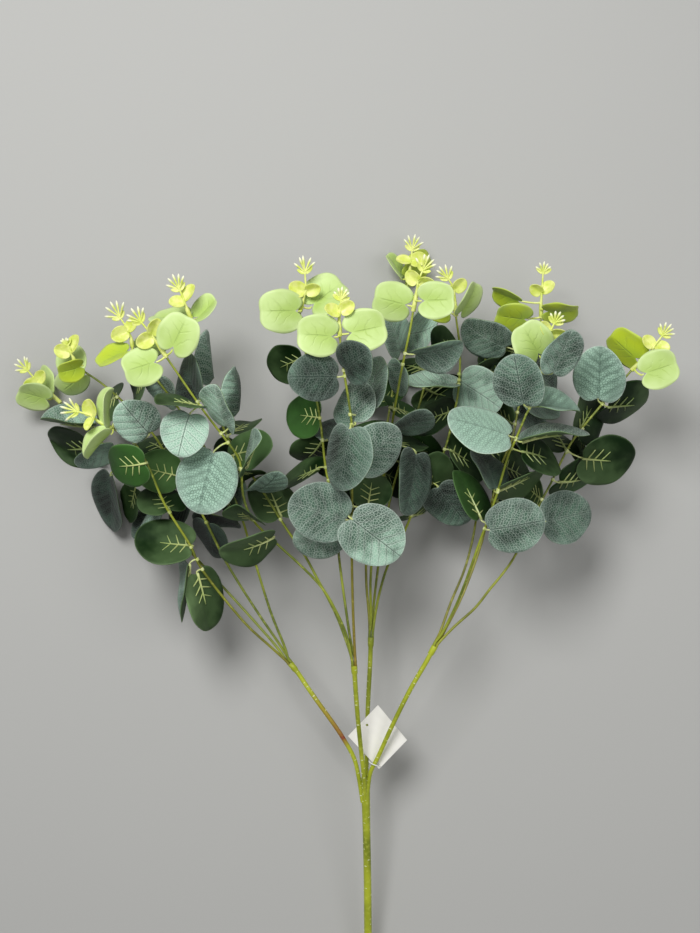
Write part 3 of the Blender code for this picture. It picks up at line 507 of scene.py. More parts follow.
# number: branch, place in its socket, end height, rise of the middle, plan points to the end
twigLines = {
    1: ("left", (-1, -1), 28, -4, [
        (276, 646), (255, 622), (224, 588), (198, 560), (172, 532), (147, 506), (130, 484),
        (100, 440), (61, 403),
    ]),
    2: ("left", (1, -1), 92, -8, [
        (280, 645), (254, 607), (225, 560), (200, 510), (175, 470), (150, 430), (110, 390),
        (76, 366),
    ]),
    3: ("left", (-1, 1), 146, 8, [
        (272, 648), (243, 621), (203, 571), (190, 545), (165, 505), (150, 470), (133, 441),
        (114, 429),
    ]),
    4: ("left", (1, 1), 116, 4, [
        (284, 645), (270, 610), (252, 552), (235, 500), (200, 440), (165, 390), (140, 360),
        (133, 348),
    ]),
    5: ("front", (-1, 1), 196, 6, [
        (349, 645), (343, 626), (330, 600), (318, 583), (298, 563), (276, 543), (253, 520),
        (243, 495), (240, 462), (226, 440), (203, 410), (167, 358),
    ]),
    6: ("front", (-1, -1), 128, -4, [
        (347, 643), (335, 612), (318, 580), (305, 556), (286, 528), (262, 490), (241, 460),
        (229, 440), (217, 412), (205, 375), (195, 335), (191, 319),
    ]),
    7: ("front", (1, -1), 132, -6, [
        (351, 643), (346, 610), (339, 557), (335, 510), (326, 470), (320, 418), (312, 380),
        (303, 340), (300, 313),
    ]),
    8: ("front", (1, 1), 206, 6, [
        (354.5, 645), (353, 610), (352, 568), (352, 527), (352, 480), (352, 427), (345, 378),
        (341, 350), (340, 337),
    ]),
    9: ("back", (-1, -1), 28, -4, [
        (369, 615), (366, 570), (370, 500), (384, 440), (392, 395), (400, 340), (405, 300),
        (409, 278),
    ]),
    10: ("back", (-1, 1), 150, 2, [
        (371, 618), (371, 570), (380, 500), (391, 430), (397, 395), (403, 363), (410, 330),
        (413, 312),
    ]),
    11: ("back", (1, 1), 96, 2, [
        (376, 610), (380, 591), (388, 565), (405, 530), (414, 510), (430, 480), (444, 452),
        (455, 410), (459, 383), (460, 350), (456, 317),
    ]),
    12: ("right", (1, -1), 66, -4, [
        (445, 630), (463, 594), (482, 541), (500, 470), (512, 440), (519, 405), (530, 365),
        (538, 335), (541, 319),
    ]),
    13: ("right", (-1, 1), 178, 4, [
        (444, 630), (461, 594), (480, 541), (485, 528), (497, 494), (508, 456), (515, 441),
        (526, 415), (532, 402), (542, 363),
    ]),
    14: ("right", (1, 1), 124, 2, [
        (455, 626), (475, 608), (490, 589), (504, 572), (517, 552), (541, 502), (551, 483),
        (571, 443), (598, 409), (631, 371),
    ]),
    15: ("back", (1, -1), 22, -6, [
        (373, 612), (378, 568), (384, 530), (395, 480), (415, 420), (428, 372), (432, 352),
    ]),
    16: ("right", (-1, -1), 22, -8, [
        (441, 630), (451, 602), (466, 565), (476, 520), (479, 470), (479, 420), (484, 372),
        (486, 352),
    ]),
}
# number: plan points of the sleeve's end, the leaflets and the ovals, reach of the buds past them
tipLines = {
    1: ([(45, 389), (36, 380), (28, 371)], 17),
    2: ([(73, 357), (70, 351), (67, 346)], 9),
    3: ([(99, 422), (90, 415), (79, 412)], 19),
    4: ([(131, 338), (127, 328), (121, 319)], 20),
    5: ([(157, 343), (151, 334), (142, 323)], 17),
    6: ([(186, 307), (184, 300), (180, 291)], 18),
    7: ([(303, 300), (306, 290), (305, 274)], 18),
    8: ([(339, 321), (340, 310), (341, 301)], 13),
    9: ([(410, 268), (411, 259), (412, 251)], 18),
    10: ([(417, 291), (418, 281), (422, 272)], 18),
    11: ([(455, 302), (454, 288), (449, 280)], 17),
    12: ([(541, 303), (542, 290), (543, 274)], 13),
    13: ([(547, 345), (550, 332), (554, 324)], 13),
    14: ([(650, 353), (655, 345), (662, 336)], 15),
}

# twig, base, tip, width seen, lift over the twig, rise to the tip, fold of each half, the face
# that is up (F the veined one, B the back with its ribs), tone: painted light from deep shade
# to full light (on a lime leaf, its own hue from olive to pale lime), and, where it differs
# from plainLeaf: swing, pitch and roll in degrees, mirrored, longest
plainLeaf = (0, 0, 0, 0, 66)
limeLeaves = [
    (1, (50, 400), (15, 391), 31, 3, 14, 8, "F", 0.8),
    (1, (52, 395), (40, 367), 28, -9, -10, 10, "F", 0.8),
    (2, (76, 372), (67, 347), 42, -10, -14, 8, "F", 0.8),
    (2, (83, 366), (56, 373), 22, 15, 8, 14, "F", 0.25),
    (2, (82, 374), (58, 390), 28, -19, -14, 8, "F", 0.8, 5),
    (3, (112, 426), (116, 385), 16, 8, 8, 40, "F", 0.8),
    (3, (112, 432), (86, 462), 15, 8, 2, 45, "F", 0.8),
    (4, (131, 350), (96, 367), 24, 9, 10, 12, "F", 0.3),
    (4, (137, 352), (170, 340), 26, -15, -10, 8, "F", 0.8),
    (5, (159, 361), (121, 373), 45, 4, 10, 7, "F", 0.75),
    (5, (171, 352), (189, 313), 46, 6, 6, 8, "F", 0.8),
    (6, (186, 319), (151, 315), 25, -4, -16, 10, "F", 0.8),
    (6, (195, 319), (217, 297), 25, -9, 4, 18, "F", 0.8),
    (7, (301, 311), (256, 308), 50, 6, 8, 7, "F", 0.8, 5),
    (7, (309, 308), (345, 281), 44, -3, -8, 8, "F", 0.8),
    (8, (337, 337), (294, 334), 48, 3, 8, 7, "F", 0.8),
    (8, (346, 334), (389, 325), 48, 1, 4, 8, "F", 0.8),
    (9, (402, 279), (385, 253), 16, -10, 6, 14, "F", 0.8),
    (9, (406, 279), (432, 256), 28, -9, -12, 10, "F", 0.3),
    (10, (410, 306), (371, 296), 41, 1, 6, 8, "F", 0.8),
    (10, (419, 301), (457, 299), 50, 8, 8, 7, "F", 0.8),
    (11, (458, 314), (476, 280), 20, 7, 6, 14, "F", 0.8),
    (11, (452, 314), (428, 292), 30, -9, -12, 8, "F", 0.3),
    (12, (529, 319), (493, 314), 30, 2, 8, 10, "F", 0.35),
    (12, (522, 302), (491, 289), 15, -4, -10, 16, "F", 0.3),
    (12, (543, 310), (581, 308), 18, 7, 4, 14, "F", 0.3),
    (13, (541, 358), (520, 322), 44, 3, 10, 10, "F", 0.8),
    (13, (546, 358), (576, 343), 14, -3, 2, 20, "F", 0.3, 0, 0, 0, 1),
    (14, (640, 362), (608, 333), 28, -13, -4, 12, "F", 0.25),
    (14, (641, 375), (680, 362), 44, 8, 8, 7, "F", 0.8),
]

leaves = [
    (5, (190, 413), (178, 457), 56, 6, 20, 7, "F", 1.0),
    (5, (214, 451), (198, 513), 65, 6, 14, 6, "F", 0.9),
    (5, (200, 408), (157, 401), 14, 7, 30, 12, "B", 0.35, 5, 0, 0, 1),
    (5, (200, 400), (186, 357), 34, -5, -24, 10, "F", 0.15),
    (5, (228, 428), (212, 385), 30, 4, 30, 14, "F", 0.75, -5),
    (5, (246, 468), (261, 437), 13, 8, 34, 14, "F", 0.6),
    (5, (236, 470), (258, 474), 18, -7, -34, 12, "B", 0.08),
    (5, (252, 520), (229, 497), 20, 3, 34, 14, "B", 0.35, 0, 16, 14),
    (5, (274, 536), (219, 552), 32, 10, 8, 12, "B", 0.45),
    (8, (347, 520), (288, 502), 63, 9, 6, 6, "F", 0.45),
    (8, (349, 517), (400, 556), 64, 19, 8, 6, "F", 0.6),
    (8, (350, 426), (338, 491), 46, 8, -6, 10, "F", 0.35),
    (8, (357, 470), (398, 428), 50, 2, 6, 8, "F", 0.6),
    (8, (338, 377), (288, 377), 50, 3, 12, 7, "F", 0.25),
    (8, (345, 370), (371, 350), 52, 4, 34, 8, "F", 0.25),
    (8, (355, 424), (352, 381), 42, -3, -24, 8, "F", 0.5),
    (8, (366, 412), (380, 356), 34, -25, -10, 10, "F", 0.55, 0, 0, 0, 1),
    (8, (343, 524), (294, 546), 46, -8, -8, 8, "F", 0.7),
    (8, (368, 506), (373, 473), 50, -6, -30, 8, "B", 0.45),
    (8, (345, 515), (368, 492), 40, -14, -30, 8, "B", 0.1),
    (13, (511, 436), (448, 418), 47, 6, 8, 7, "F", 1.0),
    (13, (524, 405), (514, 353), 48, 5, 16, 7, "F", 0.45),
    (13, (552, 374), (572, 330), 32, 13, 22, 10, "F", 0.6, 0, 0, -14),
    (13, (530, 405), (580, 412), 26, -9, 4, 26, "F", 0.7, 0, -8),
    (13, (489, 530), (546, 520), 58, 10, 10, 6, "F", 0.5),
    (13, (520, 441), (590, 436), 12, -2, 4, 12, "F", 0.5),
    (13, (520, 452), (562, 466), 43, -3, -36, 8, "B", 0.08),
    (13, (498, 490), (545, 462), 22, -10, -14, 10, "B", 0.45, -5),
    (13, (495, 491), (475, 448), 32, -13, -24, 10, "F", 0.3),
    (13, (481, 521), (457, 470), 32, 0, -16, 10, "B", 0.3),
    (14, (598, 400), (601, 346), 53, 4, 14, 7, "F", 0.8),
    (14, (606, 406), (647, 403), 42, -1, -34, 8, "B", 0.1),
    (14, (577, 434), (599, 395), 46, -5, -30, 8, "B", 0.2),
    (14, (580, 457), (633, 460), 53, -3, -20, 8, "B", 0.3),
    (14, (558, 482), (597, 474), 40, -8, -36, 8, "B", 0.3),
    (14, (543, 522), (590, 511), 61, 6, -22, 7, "F", 0.38),
    (14, (543, 500), (524, 484), 30, -9, -40, 8, "B", 0.4, 0, 0, 0, 1),
    (10, (414, 355), (463, 342), 30, 3, 12, 24, "F", 0.6),
    (10, (402, 364), (396, 397), 28, -9, -30, 10, "F", 0.65),
    (10, (388, 408), (420, 420), 24, -12, -34, 10, "B", 0.45),
    (10, (395, 432), (427, 408), 28, 3, 32, 12, "F", 0.38),
    (10, (386, 440), (424, 444), 20, -7, -34, 10, "B", 0.2),
    (10, (415, 450), (404, 515), 38, 2, 8, 10, "F", 0.3),
    (6, (212, 380), (204, 330), 14, 2, 22, 14, "F", 0.55),
    (6, (238, 412), (230, 369), 18, 1, 30, 14, "F", 0.5),
    (6, (232, 434), (252, 420), 26, -3, -38, 10, "B", 0.2),
    (6, (228, 457), (273, 445), 42, 9, 20, 9, "B", 0.5),
    (6, (255, 490), (277, 468), 24, 7, 30, 12, "F", 0.8, -5),
    (6, (281, 519), (262, 476), 46, -9, -26, 8, "B", 0.5),
    (6, (244, 478), (226, 500), 26, -15, -36, 10, "F", 0.5, 5, 0, 0, 1),
    (7, (303, 357), (270, 372), 44, 1, -28, 8, "B", 0.2),
    (7, (321, 418), (286, 413), 50, -4, -28, 8, "B", 0.35),
    (7, (320, 468), (282, 482), 24, 1, -30, 10, "B", 0.15),
    (7, (326, 440), (346, 418), 34, -6, -34, 10, "F", 0.2),
    (7, (334, 506), (352, 500), 34, -8, -38, 10, "B", 0.1),
    (3, (150, 434), (121, 401), 46, 3, 22, 8, "F", 0.7),
    (3, (146, 463), (110, 465), 46, 5, -30, 8, "B", 0.6),
    (3, (193, 546), (134, 538), 46, -9, 0, 8, "B", 0.35),
    (3, (189, 563), (183, 621), 14, 2, -12, 14, "F", 0.5),
    (3, (196, 572), (210, 630), 34, -2, -16, 10, "B", 0.5),
    (11, (458, 384), (391, 382), 23, 4, 4, 12, "F", 0.85),
    (11, (459, 380), (501, 408), 50, -5, 20, 8, "F", 0.8),
    (11, (462, 374), (498, 362), 22, -14, -34, 10, "B", 0.15),
    (11, (454, 412), (416, 428), 36, -9, -34, 8, "B", 0.08, -5),
    (11, (422, 503), (438, 452), 42, 0, 18, 10, "B", 0.35, 0, 0, -14),
    (11, (437, 486), (466, 522), 44, 11, -24, 8, "F", 0.3, 0, 0, -14),
    (11, (408, 514), (432, 506), 20, -6, -40, 10, "B", 0.3),
    (11, (448, 450), (482, 470), 40, 0, -36, 8, "B", 0.1),
    (2, (178, 476), (136, 466), 57, 7, 26, 7, "B", 0.8),
    (2, (118, 396), (96, 412), 38, -3, -38, 10, "B", 0.35),
    (2, (207, 522), (214, 556), 40, -4, -36, 8, "F", 0.04),
    (2, (202, 512), (236, 528), 34, -8, -36, 8, "F", 0.08, 0, 0, 14),
    (4, (147, 376), (122, 400), 26, -3, -38, 10, "B", 0.2, 0, -16, -30),
    (4, (160, 374), (168, 408), 26, -2, -34, 12, "F", 0.7, 0, 0, -14),
    (4, (214, 462), (186, 492), 44, -6, -32, 8, "B", 0.12, 5, -8),
    (4, (226, 488), (240, 520), 34, 5, -30, 10, "B", 0.12, -10, 0, 14, 1),
    (1, (94, 446), (50, 446), 46, -2, -44, 4, "B", 0.08),
    (1, (95, 427), (40, 420), 24, 9, 8, 34, "F", 0.6),
    (1, (114, 448), (74, 464), 22, 17, 4, 12, "F", 0.6),
    (1, (110, 474), (112, 529), 42, -3, -24, 10, "F", 0.12),
    (1, (133, 490), (147, 524), 27, -8, -36, 12, "B", 0.15),
    (1, (152, 510), (129, 542), 12, -7, -30, 12, "F", 0.3, 5, 28, -30, 1, 36),
    (1, (160, 505), (149, 550), 16, 12, 22, 14, "F", 0.7, 0, 0, -14),
    (12, (518, 352), (475, 338), 34, 1, -24, 8, "B", 0.1, 0, 0, -14),
    (12, (528, 368), (558, 390), 44, 13, -30, 8, "F", 0.35),
    (12, (508, 348), (464, 322), 46, 8, 12, 7, "F", 0.65, 0, 0, -14),
    (12, (516, 412), (548, 430), 40, -8, -34, 8, "F", 0.4),
    (12, (502, 466), (532, 484), 42, -8, -36, 8, "B", 0.12),
    (9, (401, 352), (386, 316), 36, 2, 26, 8, "F", 0.6),
    (9, (404, 334), (436, 326), 46, -7, -48, 4, "F", 0.8),
    (9, (393, 404), (366, 388), 44, -8, -36, 8, "B", 0.12),
    (9, (378, 470), (408, 484), 44, -9, -34, 8, "B", 0.12),
    (15, (426, 372), (390, 366), 48, -1, -46, 4, "B", 0.12, 0, 0, 14),
    (15, (424, 388), (458, 400), 50, -6, -46, 4, "B", 0.12),
    (15, (398, 462), (364, 446), 50, -2, -46, 4, "B", 0.12, -18, 16),
    (15, (405, 452), (442, 452), 50, -2, -46, 4, "B", 0.12, 0, 0, 14),
    (16, (486, 372), (522, 384), 50, -1, -46, 4, "B", 0.12),
    (16, (478, 400), (440, 396), 50, -1, -46, 4, "B", 0.12, 0, -28),
    (16, (481, 450), (518, 448), 50, -2, -46, 4, "B", 0.12),
    (16, (476, 480), (446, 468), 44, -6, -34, 6, "B", 0.12),
    (2, (166, 452), (140, 440), 34, -6, -34, 8, "B", 0.1),
    (1, (136, 488), (128, 520), 30, 13, -20, 10, "B", 0.12, 0, 0, 0, 1),
    (2, (190, 500), (168, 524), 36, -1, -30, 10, "F", 0.1),
    (7, (322, 440), (300, 460), 34, -17, -36, 8, "B", 0.1),
    (12, (514, 424), (488, 400), 40, -6, -34, 8, "B", 0.12, 0, 0, -14),
    (14, (566, 452), (548, 424), 40, -8, -40, 8, "B", 0.15),
    (14, (584, 430), (572, 470), 40, -21, -36, 8, "B", 0.2, -5, -28, 30, 1),
    (9, (386, 440), (352, 428), 44, -4, -40, 8, "B", 0.12, -5, 0, 0, 1),
    (7, (330, 480), (356, 470), 40, -8, -40, 8, "B", 0.12, 0, 0, 0, 1),
    (6, (245, 466), (212, 470), 40, -8, -40, 8, "B", 0.1, -18, 0, 30),
    (12, (520, 400), (556, 404), 44, -6, -36, 8, "F", 0.35, 0, 0, 0, 1),
    (11, (458, 350), (432, 340), 36, -4, -34, 8, "B", 0.12),
    (10, (376, 520), (350, 500), 40, -8, -36, 8, "B", 0.12),
    (11, (420, 500), (448, 486), 40, -15, -36, 8, "B", 0.12, 0, 0, 14),
    (3, (170, 512), (150, 486), 40, -21, -34, 8, "B", 0.1),
    (12, (492, 500), (516, 512), 40, -4, -30, 8, "B", 0.12),
]

build = {
    "seed": 11,
    "jointGap": 0.35,
    "straightStart": 5.0,
    "twigSpacing": 1.6,
    "twigRadii": (1.45, 1.05),
    "branchRadii": (2.15, 2.45),
    "socketRadius": 3.3,
    "socketLength": 9.0,
    "tipRises": (2.0, 4.0, 6.0),
    "leafAspect": 1.03,
    "limeAspect": 1.06,
    "bladeBulge": (-0.05, 0.06),  # shares of a leaf's length and width
    "bladeWave": (-0.035, 0.035),
    "bladeThickness": 0.6,
    "bladeNarrow": 0.93,  # the blade's outline is this much too wide for its form
    "floorGap": 0.02,
}


def lengthsAlong(points):
    steps = [0.0]
    for a, b in zip(points, points[1:]):
        steps.append(steps[-1] + math.dist(a, b))
    return [step / steps[-1] for step in steps]


def twigPath(number):
    branch, (sideStep, level), endHeight, middleRise, plan = twigLines[number]
    socket, before = spot(*branchLines[branch][-1]), spot(*branchLines[branch][-2])
    way = (socket - before).normalized()
    side = way.cross(Vector((0, 0, 1))).normalized()
    step = build["twigSpacing"]
    start = socket + way * build["jointGap"] + side * (sideStep * step)
    start += side.cross(way) * (level * step)
    flat = [branchLines[branch][-1][:2]] + list(plan)
    path = [start, start + way * build["straightStart"]]
    for (across, down), share in zip(flat[1:], lengthsAlong(flat)[1:]):
        eased = (share * share * (3 - 2 * share) + share) / 2
        height = start.z + (endHeight - start.z) * eased
        path.append(spot(across, down, height + middleRise * math.sin(math.pi * share)))
    return path


def rounded(points, cuts=4):  # a smooth line through the points
    ends = [points[0] * 2 - points[1]] + list(points) + [points[-1] * 2 - points[-2]]
    smooth = []
    for a, b, c, d in zip(ends, ends[1:], ends[2:], ends[3:]):
        for k in range(cuts):
            t = k / cuts
            smooth.append(0.5 * (2 * b + (c - a) * t + (2 * a - 5 * b + 4 * c - d) * t * t
                                 + (3 * b - a - 3 * c + d) * t ** 3))
    return smooth + [points[-1]]


def nearestOn(path, place):  # nearest in plan
    best = None
    for a, b in zip(path, path[1:]):
        run = (b - a).to_2d()
        share = (place - a).to_2d().dot(run) / max(run.length_squared, 1e-9)
        point = a.lerp(b, min(max(share, 0.0), 1.0))
        distance = (point - place).to_2d().length
        if best is None or distance < best[0]:
            best = (distance, point, (b - a).normalized())
    return best[1:]


def leafPose(row, path, index, aspect):
    base, tip, seen, lift, rise, fold = row[1:7]
    swing, pitch, rollStep, mirrored, longest = row[9:] + plainLeaf[len(row) - 9:]
    chance = random.Random(build["seed"] * 1000 + index)
    way, cup = chance.choice((-1, 1)), chance.choice((-1, 1, 1))
    bulge, wave = chance.uniform(*build["bladeBulge"]), chance.uniform(*build["bladeWave"])
    stem, _ = nearestOn(path, spot(*base, path[0].z))
    stem, along = nearestOn(path, spot(*base, stem.z))
    height = stem.z + lift
    start = spot(*base, height)
    run = spot(*tip, height + rise) - start
    length = min(run.length, longest)
    axis = run.normalized()
    level = axis.cross(Vector((0, 0, 1))).normalized()
    axis = Matrix.Rotation(math.radians(pitch), 3, level) @ axis
    axis = Matrix.Rotation(math.radians(swing), 3, "Z") @ axis
    side = Vector((0, 0, 1)).cross(axis).normalized()
    roll = math.acos(min(seen / (length * aspect), 1.0)) * (-1 if mirrored else 1) * way
    turned = Matrix.Rotation(roll + math.radians(rollStep), 3, axis)
    return {
        "base": start, "axis": axis, "side": turned @ side, "normal": turned @ axis.cross(side),
        "length": length, "width": length * aspect, "fold": math.radians(fold) * cup,
        "bulge": bulge, "wave": wave, "stem": stem, "stemWay": along, "index": index,
        "narrow": build["bladeNarrow"],
    }


# modelling helpers


def deselect():
    if bpy.context.object and bpy.context.object.mode != "OBJECT":
        bpy.ops.object.mode_set(mode="OBJECT")
    bpy.ops.object.select_all(action="DESELECT")


def only(piece):
    deselect()
    piece.select_set(True)
    bpy.context.view_layer.objects.active = piece


def joined(pieces, name):
    only(pieces[0])
    for piece in pieces:
        piece.select_set(True)
    if len(pieces) > 1:
        bpy.ops.object.join()
    whole = bpy.context.object
    whole.name = whole.data.name = name
    return whole


def copied(master, name):
    twin = master.copy()
    twin.data = master.data.copy()
    twin.name = twin.data.name = name
    bpy.context.scene.collection.objects.link(twin)
    return twin


def places(mesh):
    found = np.empty(len(mesh.vertices) * 3)
    mesh.vertices.foreach_get("co", found)
    return found.reshape(-1, 3)


def putPlaces(mesh, points):
    mesh.vertices.foreach_set("co", np.asarray(points, float).ravel())
    mesh.update()


def putAttribute(mesh, name, values, kind="FLOAT"):
    layer = mesh.attributes.get(name) or mesh.attributes.new(name, kind, "POINT")
    field = "value" if kind == "FLOAT" else "vector"
    layer.data.foreach_set(field, np.asarray(values, float).ravel())


def rods(name, lines, finish, sides, paintedLightAndHues):
    # each line is a list of (point, radius) in millimetres; all become one mesh of round rods
    deselect()
    bpy.ops.curve.primitive_nurbs_path_add(location=(0, 0, 0))
    curve = bpy.context.object
    curve.data.splines.clear()
    for line in lines:
        spline = curve.data.splines.new("POLY")
        spline.points.add(len(line) - 1)
        for point, (place, radius) in zip(spline.points, line):
            point.co = (*(place * mm), 1)
            point.radius = radius
    curve.data.bevel_depth = mm
    curve.data.bevel_resolution = sides
    curve.data.use_fill_caps = True
    curve.data.materials.append(finishes[finish])
    only(curve)
    bpy.ops.object.convert(target="MESH")
    rod = bpy.context.object
    rod.name = rod.data.name = name
    bpy.ops.object.shade_smooth_by_angle(angle=math.radians(50))
    marks = []
    # each line's tone: for a leafy stalk the painted light of its leaf, for a stem or twig its
    # redness, for a moulded part its paleness
    for line, paintedLightAndHue in zip(lines, paintedLightAndHues):
        steps = paintedLightAndHue if isinstance(paintedLightAndHue, list) else [paintedLightAndHue] * len(line)
        marks += [(place * mm, value) for (place, _), value in zip(line, steps)]
    nearest = KDTree(len(marks))
    for k, (place, _) in enumerate(marks):
        nearest.insert(place, k)
    nearest.balance()
    values = [marks[nearest.find(vertex.co)[1]][1] for vertex in rod.data.vertices]
    putAttribute(rod.data, "paintedLightAndHue", values)
    return rod


def cutAcross(rod, length, cuts):  # cuts the long edges of a rod
    bpy.ops.object.mode_set(mode="EDIT")
    bpy.ops.mesh.select_all(action="DESELECT")
    bpy.ops.object.mode_set(mode="OBJECT")
    for edge in rod.data.edges:
        a, b = (rod.data.vertices[k].co for k in edge.vertices)
        edge.select = (b - a).length > length * 0.9
    bpy.ops.object.mode_set(mode="EDIT")
    bpy.ops.mesh.subdivide(number_cuts=cuts)
    bpy.ops.object.mode_set(mode="OBJECT")


# the blade and its ribs, modelled once in shares of a leaf's length

bladeForm = {
    "cells": 16,
    "middle": 0.46,
    # degrees from the tip, reach from the middle
    "outline": [(0, 0.54), (20, 0.532), (42, 0.514), (60, 0.512), (78, 0.518), (95, 0.527),
                (115, 0.54), (135, 0.553), (150, 0.545), (162, 0.508), (172, 0.45), (180, 0.415)],
    "limeOutline": [(0, 0.455), (12, 0.475), (30, 0.53), (48, 0.545), (65, 0.53), (80, 0.53),
                    (95, 0.545), (115, 0.56), (135, 0.575), (150, 0.57), (160, 0.53),
                    (169, 0.45), (176, 0.36), (180, 0.32)],
}


def makeBlade(outline):
    deselect()
    cells = bladeForm["cells"]
    bpy.ops.mesh.primitive_grid_add(x_subdivisions=cells, y_subdivisions=cells, size=2)
    blade = bpy.context.object
    points = places(blade.data)
    x, y = points[:, 0].copy(), points[:, 1].copy()
    roundX, roundY = x * np.sqrt(1 - y * y / 2), y * np.sqrt(1 - x * x / 2)
    share = np.hypot(roundX, roundY)
    turn = np.degrees(np.arctan2(np.abs(roundX), roundY))
    stops = np.array(outline)
    reach = share * (stops[0, 1] * (1 - share) + share * np.interp(turn, stops[:, 0], stops[:, 1]))
    turn = np.radians(turn) * np.where(roundX < 0, -1, 1)
    flat = np.stack([reach * np.sin(turn), bladeForm["middle"] + reach * np.cos(turn), 0 * x], 1)
    putPlaces(blade.data, flat)
    putAttribute(blade.data, "rim", share)
    only(blade)
    bpy.ops.object.shade_smooth()
    return blade


ribForm = {
    "midrib": (0.02, 0.62, 0.027, 0.008),  # start, end, radius there
    "midribCuts": 6,
    # start along the midrib, reach out, rise, radius
    "sideRibs": [(0.13, 0.22, 0.07, 0.016), (0.27, 0.24, 0.1, 0.015), (0.42, 0.2, 0.11, 0.013)],
    "sideCuts": 3,
    "stagger": (0.01, 0.012),  # the right rib of a pair starts and ends this much farther on
    "sink": 0.75,  # how deep the middle of a rib lies, in its radius
}


def addRib(start, end, radii, cuts):
    deselect()
    run = end - start
    bpy.ops.mesh.primitive_cone_add(
        vertices=6, radius1=radii[0], radius2=radii[1], depth=run.length,
        location=(start + end) / 2, rotation=run.to_track_quat("Z", "X").to_euler())
    rib = bpy.context.object
    bpy.ops.object.transform_apply(location=True, rotation=True, scale=True)
    cutAcross(rib, run.length, cuts)
    return rib


def makeRibs():
    d = ribForm
    start, end, thick, thin = d["midrib"]
    height = -d["sink"] * thick
    ribs = [addRib(Vector((0, start, height)), Vector((0, end, height)), (thick, thin),
                   d["midribCuts"])]
    low, high = d["stagger"]
    for begin, out, rise, thick in d["sideRibs"]:
        height = -d["sink"] * thick
        for way in (-1, 1):
            start = Vector((0, begin + low * way, height))
            end = Vector((way * out, begin + rise + high * way, height))
            ribs.append(addRib(start, end, (thick, thick * 0.5), d["sideCuts"]))
    whole = joined(ribs, "ribMaster")
    bpy.ops.object.shade_smooth()
    putAttribute(whole.data, "rim", np.zeros(len(whole.data.vertices)))
    return whole


def bent(pose, along, across):  # the middle of a blade, along and across as shares
    out = across * pose["width"] / 2
    lift = (np.sqrt(out ** 2 + 1.0) - 1.0) * math.sin(pose["fold"])
    lift = lift + pose["bulge"] * pose["length"] * 4 * along * (1 - along)
    lift = lift + pose["wave"] * pose["width"] * across * np.abs(across) * np.sin(
        7 * along + 2 * across)
    reach = np.hypot(across, 2 * along - 1)
    turn = np.arctan2(across, 2 * along - 1)
    for waves, size, phase in pose.get("warps", ()):
        lift = lift + size * np.clip(reach - 0.25, 0, 1) ** 2 * np.sin(waves * turn + phase)
    lift = lift + pose.get("dome", 0.0) * (1 - reach ** 2)
    sideways = out * math.cos(pose["fold"])
    place = np.array(pose["base"]) + np.outer(along * pose["length"], pose["axis"])
    place = place + np.outer(sideways, pose["side"]) + np.outer(lift, pose["normal"])
    place[:, 2] = np.maximum(place[:, 2], build["bladeThickness"] / 2 + build["floorGap"])
    return place


def draped(pose, flat, flip):  # flat points, in shares of the length, laid over the bent blade
    along = flat[:, 1]
    across = -flip * flat[:, 0] * pose["narrow"] / (pose["width"] / pose["length"]) * 2
    step = 0.01
    one = bent(pose, along + step, across) - bent(pose, along - step, across)
    two = bent(pose, along, across + step) - bent(pose, along, across - step)
    normal = np.cross(two, one)
    normal *= np.sign(normal @ np.array(pose["normal"]))[:, None]
    normal /= np.maximum(np.linalg.norm(normal, axis=1), 1e-9)[:, None]
    height = flip * flat[:, 2] * pose["length"]
    place = bent(pose, along, across) + normal * height[:, None]
    place[:, 2] = np.maximum(place[:, 2], build["floorGap"])
    return place


def varied(flat, pose):  # each blade has an outline of its own
    out, up = flat[:, 0], flat[:, 1] - bladeForm["middle"]
    turn = np.arctan2(out, up)
    reach = 1.0
    for waves, size, phase in pose.get("outline", ()):
        reach = reach + size * np.sin(waves * turn + phase)
    return np.stack([out * reach, bladeForm["middle"] + up * reach, flat[:, 2]], 1)


def laid(master, name, pose, flip, paintedLightAndHue, stretch=None):
    twin = copied(master, name)
    flat = places(master.data)
    flat = flat * np.array([*stretch, 1.0]) if stretch else varied(flat, pose)
    putPlaces(twin.data, draped(pose, flat, flip) * mm)
    local = flat * pose["length"]
    local[:, 2] = pose["index"]
    putAttribute(twin.data, "blade", local, "FLOAT_VECTOR")
    putAttribute(twin.data, "paintedLightAndHue", np.full(len(flat), paintedLightAndHue))
    return twin


def thickened(piece, thickness, backSlot):
    only(piece)
    solid = piece.modifiers.new("thickness", "SOLIDIFY")
    solid.thickness = thickness * mm
    solid.offset = 0
    solid.use_even_offset = False
    solid.material_offset = solid.material_offset_rim = backSlot
    bpy.ops.object.modifier_apply(modifier="thickness")


stalkForm = {
    "bow": (0.12, 1.8),  # how far its middle lies back: a share of the run, and the most
    "sag": 0.4,
    "sunk": (0.8, 1.0),  # how far under the blade, where it arrives and where it ends
    "reach": 0.07,  # of the blade's length
    "swell": (1.3, 1.0, 1.0, 0.7),
}


def stalkLine(pose, radius, flip):  # a curved stalk from the twig to under the blade
    d = stalkForm
    start, base, axis = pose["stem"], pose["base"], pose["axis"]
    under = pose["normal"] * -flip
    share, most = d["bow"]
    bow = min((base - start).length * share, most)
    line = [start, start.lerp(base, 0.5) - axis * bow + under * d["sag"],
            base + under * d["sunk"][0],
            base + axis * (pose["length"] * d["reach"]) + under * d["sunk"][1]]
    points = rounded(line)
    radii = np.interp(np.linspace(0, len(line) - 1, len(points)), range(len(line)),
                      [radius * swell for swell in d["swell"]])
    return list(zip(points, radii))


# leafy twigs

